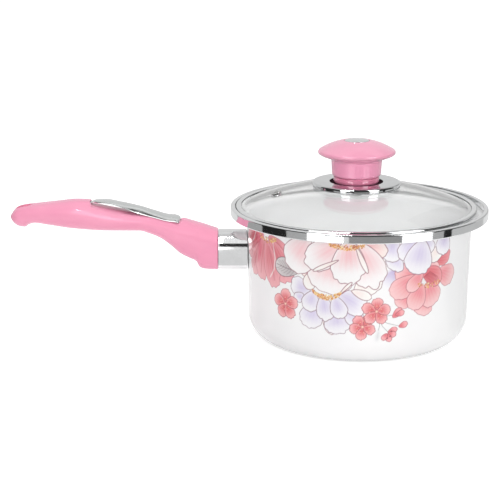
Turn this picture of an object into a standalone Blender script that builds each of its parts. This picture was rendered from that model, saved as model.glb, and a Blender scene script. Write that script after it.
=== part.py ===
"""Saucepan with a long handle and a knobbed glass lid.

Metres, +Z up.  The origin is the middle of the pan's flat underside, the pan's axis is Z and
the handle points along -X.  Touching pieces keep a gap of GAP or more.
"""
import math

import bmesh
import bpy
from mathutils import Matrix, Vector

MM = 0.001

# ---- driving dimensions (metres) ------------------------------------------------------------
GAP = 0.3 * MM                  # clearance between pieces that touch
TURN_STEPS = 40                 # facets round the pan and the lid
SMALL_STEPS = 24                # facets round screws, washers and the eyelet
DISC_STEPS = 32                 # facets round the collar and the cap disc

BODY_R_TOP = 74.7 * MM          # outer wall radius just under the rim
BODY_R_LOW = 73.55 * MM         # outer wall radius above the bottom corner
BASE_CORNER_R = 16.8 * MM
WALL_T = 1.15 * MM              # pressed steel with its enamel
FLARE_Z = 79.6 * MM             # where the wall starts to turn out to the lid's seat
SEAT_Z = 84.5 * MM              # upper face of the seat the lid rests on
SEAT_T = 1.0 * MM
UPSTAND_R = 84.2 * MM           # outside of the collar round the lid
UPSTAND_T = 1.0 * MM
UPSTAND_TOP = 88.6 * MM

BAND_R = 85.5 * MM              # outside of the steel rim band
BAND_T = 0.5 * MM
BAND_LOW = 83.8 * MM
BAND_TOP = 89.5 * MM

LID_X = -2.05 * MM              # the lid lies against the handle side of its seat
LID_R = 80.0 * MM
LID_BAND_W = 3.5 * MM
LID_BAND_T = 0.5 * MM
GLASS_T = 3.4 * MM
GLASS_TOP = 104.0 * MM          # where the dome would peak on the axis
GLASS_CURVE_R = 76.0 * MM       # the dome ends here and the rim lies flat
GLASS_RISE = 15.0 * MM
GLASS_POWER = 2.3               # a flatter middle that falls faster near the rim
GLASS_HOLE_R = 5.0 * MM

VENT_R = 53.0 * MM              # distance of the steam vent from the lid's axis
VENT_ANGLE = math.radians(180)
VENT_HOLE_R = 2.7 * MM

ROSE_R = 29.2 * MM              # chromed rose under the knob
ROSE_TOP = 105.9 * MM
ROSE_LOW = 102.75 * MM
ROSE_T = 0.6 * MM
ROSE_HOLE_R = 17.75 * MM

COLLAR_R = 15.2 * MM
COLLAR_FOOT_R = 14.4 * MM       # the collar narrows at its foot
COLLAR_TOP = 109.4 * MM
COLLAR_FLANGE = (104.25 * MM, 105.0 * MM)   # hidden flange under the rose, low and high face
COLLAR_FLANGE_R = 19.3 * MM
NECK_R_LOW = 16.3 * MM
NECK_R_TOP = 16.7 * MM
KNOB_R = 25.65 * MM
KNOB_WIDE_Z = 125.9 * MM
KNOB_TOP = 133.8 * MM
NECK_TOP_Z = 120.2 * MM
DISC_R = 8.2 * MM

PAN_CUT_R = 74.95 * MM          # sleeve and bracket are cut to this radius round the wall
FERRULE_X = -93.7 * MM          # handle end of the ferrule
FERRULE_Z = 59.25 * MM          # height of the ferrule's middle
FERRULE_HALF_H = 13.15 * MM
FERRULE_HALF_W = 10.8 * MM
FERRULE_T = 0.8 * MM

TANG_Z = 56.0 * MM
TANG_T = 3.0 * MM
TANG_W = 14.0 * MM
TANG_END_X = -109.0 * MM
SCREW_X = -101.0 * MM           # handle screw, through the heel of the grip
SCREW_R = 2.5 * MM
SCREW_HOLE_R = 2.85 * MM
SCREW_HEAD_R = 4.5 * MM
HANDLE_SCREW_Z = (46.6 * MM, 49.4 * MM, 62.1 * MM)    # head's low and high face, shank's top
KNOB_SCREW_Z = (94.8 * MM, 97.6 * MM, 119.5 * MM)
HANDLE_WASHER_Z = (49.7 * MM, 50.7 * MM)
KNOB_WASHER_Z = (97.9 * MM, 98.9 * MM)
UPPER_GASKET_Z = (104.3 * MM, 105.1 * MM)

GRIP_TIP_X = -231.8 * MM
GRIP_END_X = -94.0 * MM
HANG_HOLE_X = -223.2 * MM
HANG_HOLE_R = 3.5 * MM
HANG_HOLE_STRETCH = 2.0 * MM    # half the straight part of the oblong hole

STRIP_FAR_X = -182.0 * MM
STRIP_FOOT_X = -119.2 * MM
STRIP_T = 0.8 * MM
STUD_X = -122.5 * MM
STUD_R = 1.2 * MM
STUD_STEPS = 16
STUD_Z = (73.0 * MM, 80.1 * MM)

ON_LID = Matrix.Translation((LID_X, 0, 0))

# the knob's cap in millimetres, (radius, height), from its disc out to the edge and back under it
CAP_TOP = [(13.9, 132.0), (18.6, 130.2), (22.6, 128.2), (24.8, 126.9)]
CAP_UNDER = [(25.5, 124.8), (24.4, 123.9), (21.0, 122.5), (17.6, 121.4)]

# side outlines of the grip in millimetres along X: (x, height) or (x, half width).  The crown
# steps down under the chrome strip; the shoulders beside it fall away gently.
GRIP_TOP = [(-231.8, 83.6), (-229.4, 86.8), (-226.5, 88.5), (-221.0, 89.7), (-212.0, 90.75),
            (-200.0, 92.1), (-188.0, 93.3), (-179.0, 92.9), (-177.6, 90.2), (-170.0, 88.8),
            (-160.0, 86.8), (-150.0, 84.8), (-142.0, 84.6), (-136.0, 84.0), (-130.0, 82.3),
            (-124.0, 80.9), (-118.8, 79.6), (-117.8, 80.3), (-110.0, 78.3), (-103.0, 76.2),
            (-98.0, 74.4), (-94.0, 73.1)]
GRIP_SHOULDER = [(-200.0, 92.1), (-190.0, 92.9), (-180.0, 91.7), (-170.0, 89.0), (-160.0, 86.9),
                 (-150.0, 85.3), (-140.0, 84.4), (-130.0, 82.3), (-118.0, 80.0), (-110.0, 78.3)]
GRIP_BOTTOM = [(-231.8, 81.0), (-229.6, 77.4), (-226.0, 75.6), (-222.4, 75.1), (-219.6, 76.9),
               (-216.0, 77.8), (-206.0, 76.4), (-190.0, 74.0), (-170.0, 72.7), (-146.0, 72.6),
               (-139.0, 70.5), (-132.6, 67.7), (-126.0, 62.9), (-119.0, 56.8), (-113.0, 53.7),
               (-108.6, 51.7), (-106.2, 47.5), (-102.5, 46.3), (-94.0, 46.0)]
GRIP_HALF_W = [(-231.8, 8.5), (-226.0, 10.0), (-215.0, 10.6), (-190.0, 12.2), (-165.0, 12.8),
               (-140.0, 11.7), (-120.0, 11.2), (-94.0, 11.0)]
STRIP_CROWN = [(-182.0, 91.7), (-178.2, 92.0), (-175.0, 93.0), (-168.0, 93.1), (-159.0, 91.7),
               (-146.0, 88.9), (-136.0, 85.7), (-126.5, 83.0), (-122.0, 82.5), (-119.2, 81.4)]
STRIP_HALF_W = [(-182.0, 2.6), (-178.0, 3.0), (-170.0, 5.6), (-160.0, 6.8), (-146.0, 8.4),
                (-130.0, 8.6), (-119.2, 8.8)]
STRIP_DROP = [(-182.0, 0.2), (-176.0, 0.3), (-165.0, 0.9), (-155.0, 1.8), (-146.0, 3.0),
              (-136.0, 2.4), (-126.0, 2.1), (-119.2, 2.1)]


# ---- helpers --------------------------------------------------------------------------------
def clear_scene():
    for obj in list(bpy.data.objects):
        bpy.data.objects.remove(obj, do_unlink=True)


def collection(name):
    found = bpy.data.collections.get(name) or bpy.data.collections.new(name)
    if found.name not in bpy.context.scene.collection.children:
        bpy.context.scene.collection.children.link(found)
    return found


def material(name, colour, roughness, metallic=0.0):
    mat = bpy.data.materials.new(name)
    mat.use_nodes = True
    shader = mat.node_tree.nodes["Principled BSDF"]
    shader.inputs["Base Color"].default_value = (*colour, 1.0)
    shader.inputs["Roughness"].default_value = roughness
    shader.inputs["Metallic"].default_value = metallic
    return mat


def add_object(name, mesh, mat, group):
    obj = bpy.data.objects.new(name, mesh)
    group.objects.link(obj)
    if mat:
        mesh.materials.append(mat)
    return obj


def smooth_curve(points):
    """A monotone cubic through (x, value) points given in millimetres, as a function in metres."""
    xs = [p[0] * MM for p in points]
    ys = [p[1] * MM for p in points]
    slopes = [(ys[i + 1] - ys[i]) / (xs[i + 1] - xs[i]) for i in range(len(xs) - 1)]
    tangents = [slopes[0]]
    for before, after in zip(slopes, slopes[1:]):
        same_way = before * after > 0
        tangents.append(2 * before * after / (before + after) if same_way else 0.0)
    tangents.append(slopes[-1])

    def value(x):
        x = min(max(x, xs[0]), xs[-1])
        i = max(j for j in range(len(xs) - 1) if xs[j] <= x)
        h = xs[i + 1] - xs[i]
        t = (x - xs[i]) / h
        return ((2 * t**3 - 3 * t**2 + 1) * ys[i] + (t**3 - 2 * t**2 + t) * h * tangents[i]
                + (-2 * t**3 + 3 * t**2) * ys[i + 1] + (t**3 - t**2) * h * tangents[i + 1])
    return value


def arc(centre_r, centre_z, radius, start_deg, end_deg, count):
    """Points of a round stretch of a profile, both ends included."""
    points = []
    for i in range(count + 1):
        a = math.radians(start_deg + (end_deg - start_deg) * i / count)
        points.append((centre_r + radius * math.cos(a), centre_z + radius * math.sin(a)))
    return points


def turned(name, profile, mat, group, steps=TURN_STEPS, ring=True, place=None):
    """A profile of (radius, height) points turned about Z.

    Going round, it runs down its outer side.  A ring closes on itself; otherwise both ends
    of the profile lie on the axis.
    """
    mesh = bpy.data.meshes.new(name)
    edges = [(i, i + 1) for i in range(len(profile) - 1)]
    if ring:
        edges.append((len(profile) - 1, 0))
    mesh.from_pydata([(r, 0.0, z) for r, z in profile], edges, [])
    obj = add_object(name, mesh, mat, group)
    screw = obj.modifiers.new("turn", "SCREW")
    screw.axis = "Z"
    screw.angle = 2 * math.pi
    screw.steps = screw.render_steps = steps
    screw.use_merge_vertices = True
    screw.merge_threshold = 0.00001
    screw.use_smooth_shade = True
    if place is not None:
        obj.matrix_world = place
    return obj


def box(name, low, high, mat, group):
    mesh = bpy.data.meshes.new(name)
    bm = bmesh.new()
    size = [h - l for l, h in zip(low, high)]
    middle = [(h + l) / 2 for l, h in zip(low, high)]
    bmesh.ops.create_cube(bm, size=1.0, matrix=Matrix.Translation(middle) @ Matrix.Diagonal((*size, 1)))
    bm.to_mesh(mesh)
    bm.free()
    return add_object(name, mesh, mat, group)


def cylinder(name, radius, low, high, mat, group, x=0.0, y=0.0, steps=SMALL_STEPS):
    mesh = bpy.data.meshes.new(name)
    bm = bmesh.new()
    bmesh.ops.create_cone(bm, cap_ends=True, segments=steps, radius1=radius, radius2=radius,
                          depth=high - low, matrix=Matrix.Translation((x, y, (low + high) / 2)))
    bm.to_mesh(mesh)
    bm.free()
    return add_object(name, mesh, mat, group)


def loft(name, rings, mat, group, tip=None):
    """Skins equal rings of points; the last ring is capped flat, the first too or by a tip."""
    mesh = bpy.data.meshes.new(name)
    bm = bmesh.new()
    rows = [[bm.verts.new(p) for p in ring] for ring in rings]
    count = len(rows[0])
    for lower, upper in zip(rows, rows[1:]):
        for i in range(count):
            j = (i + 1) % count
            bm.faces.new((lower[i], lower[j], upper[j], upper[i]))
    if tip is None:
        bm.faces.new(rows[0])
    else:
        point = bm.verts.new(tip)
        for i in range(count):
            bm.faces.new((point, rows[0][(i + 1) % count], rows[0][i]))
    bm.faces.new(rows[-1])
    bmesh.ops.recalc_face_normals(bm, faces=bm.faces)
    bm.to_mesh(mesh)
    bm.free()
    return add_object(name, mesh, mat, group)


def combine(obj, other, operation="DIFFERENCE"):
    mod = obj.modifiers.new(other.name, "BOOLEAN")
    mod.operation = operation
    mod.solver = "EXACT"
    mod.object = other
    other.hide_render = True
    other.display_type = "WIRE"


def shade(obj, angle_deg=35):
    obj.data.shade_smooth()
    obj.data.set_sharp_from_angle(angle=math.radians(angle_deg))


# ---- pan ------------------------------------------------------------------------------------
def pot_body(parts, mat):
    """Pressed and enamelled pan: flat base, round corner, wall, seat for the lid, collar."""
    inner_corner = BASE_CORNER_R - WALL_T
    lip_r = UPSTAND_R - UPSTAND_T / 2
    profile = [(0.0, WALL_T)]
    profile += arc(BODY_R_LOW - BASE_CORNER_R, BASE_CORNER_R, inner_corner, -90, 0, 5)
    flare_r = SEAT_Z - FLARE_Z
    profile += [(BODY_R_TOP - WALL_T, FLARE_Z)]
    profile += arc(BODY_R_TOP - WALL_T + flare_r, FLARE_Z, flare_r, 150, 90, 2)
    profile += [(UPSTAND_R - UPSTAND_T - 1 * MM, SEAT_Z),
                (UPSTAND_R - UPSTAND_T, SEAT_Z + 1 * MM), (UPSTAND_R - UPSTAND_T, UPSTAND_TOP - 0.4 * MM)]
    profile += [(lip_r, UPSTAND_TOP), (UPSTAND_R, UPSTAND_TOP - 0.4 * MM)]
    corner = 1.6 * MM
    seat_under = SEAT_Z - SEAT_T
    profile += arc(UPSTAND_R - corner, seat_under + corner, corner, 0, -90, 2)
    under_r = seat_under - FLARE_Z
    profile += arc(BODY_R_TOP + under_r, FLARE_Z, under_r, 90, 180, 3)
    profile += arc(BODY_R_LOW - BASE_CORNER_R, BASE_CORNER_R, BASE_CORNER_R, 0, -90, 5)
    profile += [(0.0, 0.0)]
    return turned("pot_body", profile, mat, parts, ring=False)


def pot_rim_band(parts, mat):
    """Steel channel rolled over the collar's raw edge."""
    inside_r = UPSTAND_R - UPSTAND_T - GAP
    outside_r = UPSTAND_R + GAP
    under_top = UPSTAND_TOP + GAP
    round_r, inner_low = 0.5 * MM, 86.2 * MM
    profile = [(BAND_R - round_r, BAND_TOP), (BAND_R, BAND_TOP - round_r),
               (BAND_R, BAND_LOW + round_r), (BAND_R - round_r, BAND_LOW), (outside_r, BAND_LOW),
               (outside_r, under_top), (inside_r, under_top), (inside_r, inner_low),
               (inside_r - BAND_T, inner_low), (inside_r - BAND_T, BAND_TOP - round_r),
               (inside_r, BAND_TOP)]
    return turned("pot_rim_band", profile, mat, parts)


# ---- handle ---------------------------------------------------------------------------------
def handle_bracket(parts, cutters, mat):
    """Curved plate welded to the wall, with a flat tang that carries the grip."""
    inner = PAN_CUT_R
    plate_t = 1.6 * MM
    saddle_half_w, saddle_half_h = 7.8 * MM, 9.5 * MM
    above, below = 80 * MM, 40 * MM
    bracket = box("handle_bracket", (-78 * MM, -saddle_half_w, FERRULE_Z - saddle_half_h),
                  (-70 * MM, saddle_half_w, FERRULE_Z + saddle_half_h), mat, parts)
    plate_ring = turned("bracket_curve", [(inner + plate_t, above), (inner + plate_t, below),
                                          (inner, below), (inner, above)], None, cutters)
    combine(bracket, plate_ring, "INTERSECT")
    tang = box("bracket_tang", (TANG_END_X, -TANG_W / 2, TANG_Z - TANG_T / 2),
               (-PAN_CUT_R - 0.85 * MM, TANG_W / 2, TANG_Z + TANG_T / 2), None, cutters)
    combine(bracket, tang, "UNION")
    hole = cylinder("bracket_hole", SCREW_HOLE_R, 50 * MM, 62 * MM, None, cutters, x=SCREW_X)
    combine(bracket, hole)
    return bracket


def oval_ring(x, middle_z, half_w, half_h, power=3.0, count=32):
    """A rounded-rectangle outline across the handle."""
    ring = []
    for i in range(count):
        a = 2 * math.pi * i / count
        c, s = math.cos(a), math.sin(a)
        ring.append((x, half_w * math.copysign(abs(c) ** (2 / power), c),
                     middle_z + half_h * math.copysign(abs(s) ** (2 / power), s)))
    return ring


def ferrule(parts, cutters, mat):
    """Polished sleeve between the grip and the pan, cut to the pan's curve."""
    def section(x, less):
        return oval_ring(x, FERRULE_Z, FERRULE_HALF_W - less, FERRULE_HALF_H - less)
    sleeve = loft("ferrule", [section(FERRULE_X, 0.3 * MM), section(FERRULE_X + 0.4 * MM, 0.0),
                              section(-70 * MM, 0.0)], mat, parts)
    hollow = loft("ferrule_hollow", [section(-99 * MM, FERRULE_T), section(-60 * MM, FERRULE_T)],
                  None, cutters)
    combine(sleeve, hollow)
    pan = turned("ferrule_pan_cut", [(0.0, 90 * MM), (PAN_CUT_R, 90 * MM),
                                     (PAN_CUT_R, 30 * MM), (0.0, 30 * MM)], None, cutters, ring=False)
    combine(sleeve, pan)
    return sleeve


def grip_stations():
    """Places along the grip where its section is taken, close together at steps and ends."""
    tip, end = GRIP_TIP_X, GRIP_END_X
    round_tip = [tip + step * MM for step in (0.15, 0.6, 1.4, 2.6, 4.2, 6.4)]
    steps = [x * MM for x in (-222.4, -219.8, -216.5, -179.0, -177.6, -119.8, -118.8, -117.8,
                              -107.2, -106.0, -104.8, -94.8)]
    even = [tip + 9.5 * MM + i * 5.1 * MM for i in range(25)]
    close = 1.2 * MM
    kept = [x for x in even if all(abs(x - s) > close for s in steps) and x < end - 2 * MM]
    return sorted(round_tip + steps + kept + [end])


def handle_grip(parts, cutters, mat):
    """Moulded grip: a loft, with its hanging hole, tang socket, screw bore and strip slot."""
    top, bottom = smooth_curve(GRIP_TOP), smooth_curve(GRIP_BOTTOM)
    shoulder = smooth_curve(GRIP_SHOULDER)
    half_w = smooth_curve(GRIP_HALF_W)
    tip_round = 6.4 * MM
    rings = []
    for x in grip_stations():
        reach = min(1.0, (x - GRIP_TIP_X) / tip_round)
        ease = math.sqrt(1 - (1 - reach) ** 2)
        if x > -94.4 * MM:
            ease = 0.97
        blend = min(1.0, max(0.0, (x + 125 * MM) / (25 * MM)))
        power = 2.3 + 0.7 * blend
        share = 0.56 - 0.06 * blend
        high, low = top(x), bottom(x)
        side_high = shoulder(x) if -200 * MM < x < -110 * MM else high
        middle = low + share * (side_high - low)
        width_ease = 0.35 + 0.65 * ease if reach < 1 else ease
        ring = []
        for i in range(24):
            a = 2 * math.pi * i / 24
            c, s = math.cos(a), math.sin(a)
            crown_share = min(1.0, max(0.0, (s - 0.8) / 0.16))
            upper = side_high + (high - side_high) * crown_share
            reach_z = (upper - middle) if s > 0 else (middle - low)
            ring.append((x, width_ease * half_w(x) * math.copysign(abs(c) ** (2 / power), c),
                         middle + ease ** 0.3 * reach_z * math.copysign(abs(s) ** (2 / power), s)))
        rings.append(ring)
    tip_z = 0.5 * (top(GRIP_TIP_X) + bottom(GRIP_TIP_X))
    grip = loft("handle_grip", rings, mat, parts, tip=(GRIP_TIP_X, 0.0, tip_z))

    hole = cylinder("hang_hole_a", HANG_HOLE_R, 60 * MM, 110 * MM, None, cutters,
                    x=HANG_HOLE_X - HANG_HOLE_STRETCH)
    second = cylinder("hang_hole_b", HANG_HOLE_R, 60 * MM, 110 * MM, None, cutters,
                      x=HANG_HOLE_X + HANG_HOLE_STRETCH)
    between = box("hang_hole_c", (HANG_HOLE_X - HANG_HOLE_STRETCH, -HANG_HOLE_R, 61 * MM),
                  (HANG_HOLE_X + HANG_HOLE_STRETCH, HANG_HOLE_R, 109 * MM), None, cutters)
    combine(hole, second, "UNION")
    combine(hole, between, "UNION")
    combine(grip, hole)

    socket_gap = 0.4 * MM
    socket = box("tang_socket", (TANG_END_X - 1 * MM, -TANG_W / 2 - socket_gap, TANG_Z - TANG_T / 2 - GAP),
                 (-90 * MM, TANG_W / 2 + socket_gap, TANG_Z + TANG_T / 2 + GAP), None, cutters)
    combine(grip, socket)
    pocket = box("nut_pocket", (SCREW_X - 5.2 * MM, -4.5 * MM, TANG_Z),
                 (-90 * MM, 4.5 * MM, 62.6 * MM), None, cutters)
    combine(grip, pocket)
    bore = cylinder("grip_bore", SCREW_HOLE_R, 40 * MM, 56 * MM, None, cutters, x=SCREW_X)
    combine(grip, bore)
    seat = cylinder("grip_counterbore", 5.4 * MM, 40 * MM, 51 * MM, None, cutters, x=SCREW_X)
    combine(grip, seat)
    slot = box("strip_slot", (-184 * MM, -3.3 * MM, 90.4 * MM), (-177 * MM, 3.3 * MM, 92.6 * MM),
               None, cutters)
    combine(grip, slot)
    stud_hole = cylinder("stud_hole", STUD_R + GAP + 0.05 * MM, 72 * MM, 90 * MM, None, cutters,
                         x=STUD_X, steps=STUD_STEPS)
    combine(grip, stud_hole)
    return grip


def handle_trim_strip(parts, mat):
    """Arched chrome strip that bridges the dip in the grip's top."""
    crown, half_w, drop = smooth_curve(STRIP_CROWN), smooth_curve(STRIP_HALF_W), smooth_curve(STRIP_DROP)
    across = 6
    count = 18
    mesh = bpy.data.meshes.new("handle_trim_strip")
    bm = bmesh.new()
    rows = []
    for i in range(count + 1):
        x = STRIP_FAR_X + (STRIP_FOOT_X - STRIP_FAR_X) * i / count
        row = []
        for j in range(across + 1):
            side = 2 * j / across - 1
            row.append(bm.verts.new((x, side * half_w(x), crown(x) - drop(x) * side * side)))
        rows.append(row)
    for near, far in zip(rows, rows[1:]):
        for j in range(across):
            bm.faces.new((near[j], far[j], far[j + 1], near[j + 1]))
    bm.to_mesh(mesh)
    bm.free()
    strip = add_object("handle_trim_strip", mesh, mat, parts)
    solid = strip.modifiers.new("thickness", "SOLIDIFY")
    solid.thickness = STRIP_T
    solid.offset = -1.0
    return strip


def screw_solid(name, head_r, head_low, head_high, shank_top, mat, parts, cutters, x=0.0):
    """Pan-head screw pointing up, with a cross recess in the underside of its head."""
    profile = [(0.0, shank_top), (SCREW_R - 0.5 * MM, shank_top), (SCREW_R, shank_top - 0.6 * MM),
               (SCREW_R, head_high), (head_r, head_high), (head_r, head_low + 1.0 * MM),
               (head_r - 0.9 * MM, head_low + 0.2 * MM), (head_r - 2.0 * MM, head_low), (0.0, head_low)]
    screw = turned(name, profile, mat, parts, steps=SMALL_STEPS, ring=False,
                   place=Matrix.Translation((x, 0, 0)))
    long, short, depth = 2.2 * MM, 0.5 * MM, 1.2 * MM
    for tag, half_x, half_y in (("a", long, short), ("b", short, long)):
        slot = box(f"{name}_recess_{tag}", (x - half_x, -half_y, head_low - 2 * MM),
                   (x + half_x, half_y, head_low + depth), None, cutters)
        combine(screw, slot)
    return screw


def washer(name, inner, outer, low, high, mat, parts, x=0.0):
    return turned(name, [(outer, high), (outer, low), (inner, low), (inner, high)], mat, parts,
                  steps=SMALL_STEPS, place=Matrix.Translation((x, 0, 0)))


def tang_nut(parts, cutters, mat):
    """Square nut on top of the tang."""
    nut = box("tang_nut", (SCREW_X - 4 * MM, -4 * MM, TANG_Z + TANG_T / 2 + GAP),
              (SCREW_X + 4 * MM, 4 * MM, 61.8 * MM), mat, parts)
    hole = cylinder("nut_hole", SCREW_HOLE_R, 50 * MM, 70 * MM, None, cutters, x=SCREW_X)
    combine(nut, hole)
    return nut


# ---- lid ------------------------------------------------------------------------------------
def glass_top(r):
    """Height of the glass's upper face at a distance from the lid's axis."""
    return GLASS_TOP - GLASS_RISE * min(1.0, r / GLASS_CURVE_R) ** GLASS_POWER


def lid_glass(parts, cutters, mat):
    edge_r = LID_R - LID_BAND_T - 0.6 * MM
    upper = [(GLASS_HOLE_R + (GLASS_CURVE_R - GLASS_HOLE_R) * i / 8) for i in range(9)]
    outer = [(r, glass_top(r)) for r in upper]
    inner = []
    for r in upper[:-1]:
        slope = (glass_top(r + 0.1 * MM) - glass_top(r - 0.1 * MM)) / (0.2 * MM)
        along = 1 / math.sqrt(1 + slope * slope)
        inner.append((max(GLASS_HOLE_R, r + GLASS_T * slope * along), glass_top(r) - GLASS_T * along))
    rim_z = glass_top(GLASS_CURVE_R)
    profile = outer + [(edge_r - 0.4 * MM, rim_z), (edge_r, rim_z - 0.5 * MM),
                       (edge_r, rim_z - GLASS_T + 0.5 * MM), (edge_r - 0.4 * MM, rim_z - GLASS_T),
                       (GLASS_CURVE_R - 2 * MM, rim_z - GLASS_T)] + inner[::-1]
    glass = turned("lid_glass", profile, mat, parts, place=ON_LID)
    hole = cylinder("vent_hole", VENT_HOLE_R, -10 * MM, 10 * MM, None, cutters)
    hole.matrix_world = vent_place()
    combine(glass, hole)
    return glass


def vent_place():
    """The vent's frame: on the glass's upper face, with Z along the glass's normal."""
    slope = (glass_top(VENT_R + 0.1 * MM) - glass_top(VENT_R - 0.1 * MM)) / (0.2 * MM)
    tilt = math.atan(-slope)
    where = Vector((LID_X + VENT_R * math.cos(VENT_ANGLE), VENT_R * math.sin(VENT_ANGLE),
                    glass_top(VENT_R)))
    turn = Matrix.Rotation(VENT_ANGLE, 4, "Z") @ Matrix.Rotation(tilt, 4, "Y")
    return Matrix.Translation(where) @ turn


def vent_eyelet(parts, mat):
    """Steel eyelet through the glass that lets the steam out."""
    barrel, hole, flange = 2.3 * MM, 1.3 * MM, 3.9 * MM
    flange_t = 0.5 * MM
    low = -GLASS_T - 0.4 * MM
    high = 0.4 * MM
    profile = [(hole, high + flange_t), (flange - 0.4 * MM, high + flange_t), (flange, high),
               (barrel, high), (barrel, low), (flange, low), (flange - 0.4 * MM, low - flange_t),
               (hole, low - flange_t)]
    return turned("vent_eyelet", profile, mat, parts, steps=SMALL_STEPS, place=vent_place())


def lid_rim_band(parts, mat):
    """Steel channel rolled round the edge of the glass."""
    inner = LID_R - LID_BAND_W
    top = glass_top(GLASS_CURVE_R) + GAP + LID_BAND_T
    low = SEAT_Z + GAP
    wall = LID_R - LID_BAND_T
    profile = [(inner, top), (LID_R - 1.0 * MM, top), (LID_R - 0.3 * MM, top - 0.3 * MM),
               (LID_R, top - 1.0 * MM), (LID_R, low + 0.8 * MM), (LID_R - 0.8 * MM, low), (inner, low),
               (inner, low + LID_BAND_T), (wall, low + LID_BAND_T), (wall, top - LID_BAND_T),
               (inner, top - LID_BAND_T)]
    return turned("lid_rim_band", profile, mat, parts, place=ON_LID)


def knob_rose(parts, mat):
    """Shallow chromed cap that spreads the knob's load on the glass."""
    round_r = 1.3 * MM
    profile = arc(ROSE_R - round_r, ROSE_TOP - round_r, round_r, 90, 0, 3)
    profile += [(ROSE_R, ROSE_LOW), (ROSE_R - ROSE_T, ROSE_LOW)]
    profile += arc(ROSE_R - round_r, ROSE_TOP - round_r, round_r - ROSE_T, 0, 90, 2)
    profile += [(ROSE_HOLE_R, ROSE_TOP - ROSE_T), (ROSE_HOLE_R, ROSE_TOP)]
    return turned("knob_rose", profile, mat, parts, place=ON_LID)


def knob_collar(parts, mat):
    """Lower ring of the knob; its hidden flange holds the rose down."""
    flange_low, flange_top = COLLAR_FLANGE
    recess_r, recess_z, hole = 12.6 * MM, flange_low + 1.15 * MM, SCREW_HOLE_R
    profile = [(hole, COLLAR_TOP), (COLLAR_R - 0.4 * MM, COLLAR_TOP), (COLLAR_R, COLLAR_TOP - 0.4 * MM),
               (COLLAR_R, flange_top + 1.3 * MM), (COLLAR_FOOT_R, flange_top),
               (COLLAR_FLANGE_R, flange_top), (COLLAR_FLANGE_R, flange_low),
               (recess_r, flange_low), (recess_r, recess_z), (hole, recess_z)]
    return turned("knob_collar", profile, mat, parts, steps=DISC_STEPS, place=ON_LID)


def knob_body(parts, mat):
    """Mushroom knob with a disc recess on top and a pocket for its threaded insert."""
    low = COLLAR_TOP + GAP
    recess_r, recess_z = DISC_R + GAP, KNOB_TOP - 1.2 * MM
    pocket_r, pocket_top = 4.3 * MM, 124.0 * MM
    profile = [(0.0, recess_z), (recess_r, recess_z), (recess_r, KNOB_TOP - 0.6 * MM)]
    profile += [(r * MM, z * MM) for r, z in CAP_TOP] + [(KNOB_R, KNOB_WIDE_Z)]
    profile += [(r * MM, z * MM) for r, z in CAP_UNDER]
    profile += [(NECK_R_TOP, NECK_TOP_Z), (NECK_R_LOW, low + 1.4 * MM),
                (NECK_R_LOW - 0.2 * MM, low + 0.6 * MM), (NECK_R_LOW - 0.9 * MM, low),
                (pocket_r, low), (pocket_r, pocket_top), (0.0, pocket_top)]
    return turned("knob_body", profile, mat, parts, ring=False, place=ON_LID)


def knob_cap_disc(parts, mat):
    """Metal disc let into the knob's top."""
    low = KNOB_TOP - 0.9 * MM
    profile = [(0.0, KNOB_TOP), (4.5 * MM, KNOB_TOP - 0.1 * MM), (DISC_R - 0.4 * MM, KNOB_TOP - 0.35 * MM),
               (DISC_R, KNOB_TOP - 0.6 * MM), (DISC_R, low), (0.0, low)]
    return turned("knob_cap_disc", profile, mat, parts, steps=DISC_STEPS, ring=False, place=ON_LID)


def knob_insert(parts, mat):
    """Threaded brass insert moulded into the knob."""
    low, high, bore_top = COLLAR_TOP + 2 * GAP, 123.6 * MM, 121.5 * MM
    profile = [(0.0, high), (4.0 * MM, high), (4.0 * MM, low), (SCREW_HOLE_R, low),
               (SCREW_HOLE_R, bore_top), (0.0, bore_top)]
    return turned("knob_insert", profile, mat, parts, steps=SMALL_STEPS, ring=False, place=ON_LID)


def gasket_lower(parts, mat):
    """Silicone grommet: a flange under the glass and a sleeve through its hole."""
    under = glass_top(GLASS_HOLE_R) - GLASS_T - GAP
    profile = [(SCREW_HOLE_R, under + GLASS_T), (4.65 * MM, under + GLASS_T), (4.65 * MM, under),
               (8.5 * MM, under - 0.1 * MM), (8.5 * MM, under - 1.1 * MM), (SCREW_HOLE_R, under - 1.1 * MM)]
    return turned("gasket_lower", profile, mat, parts, steps=SMALL_STEPS, place=ON_LID)


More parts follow.
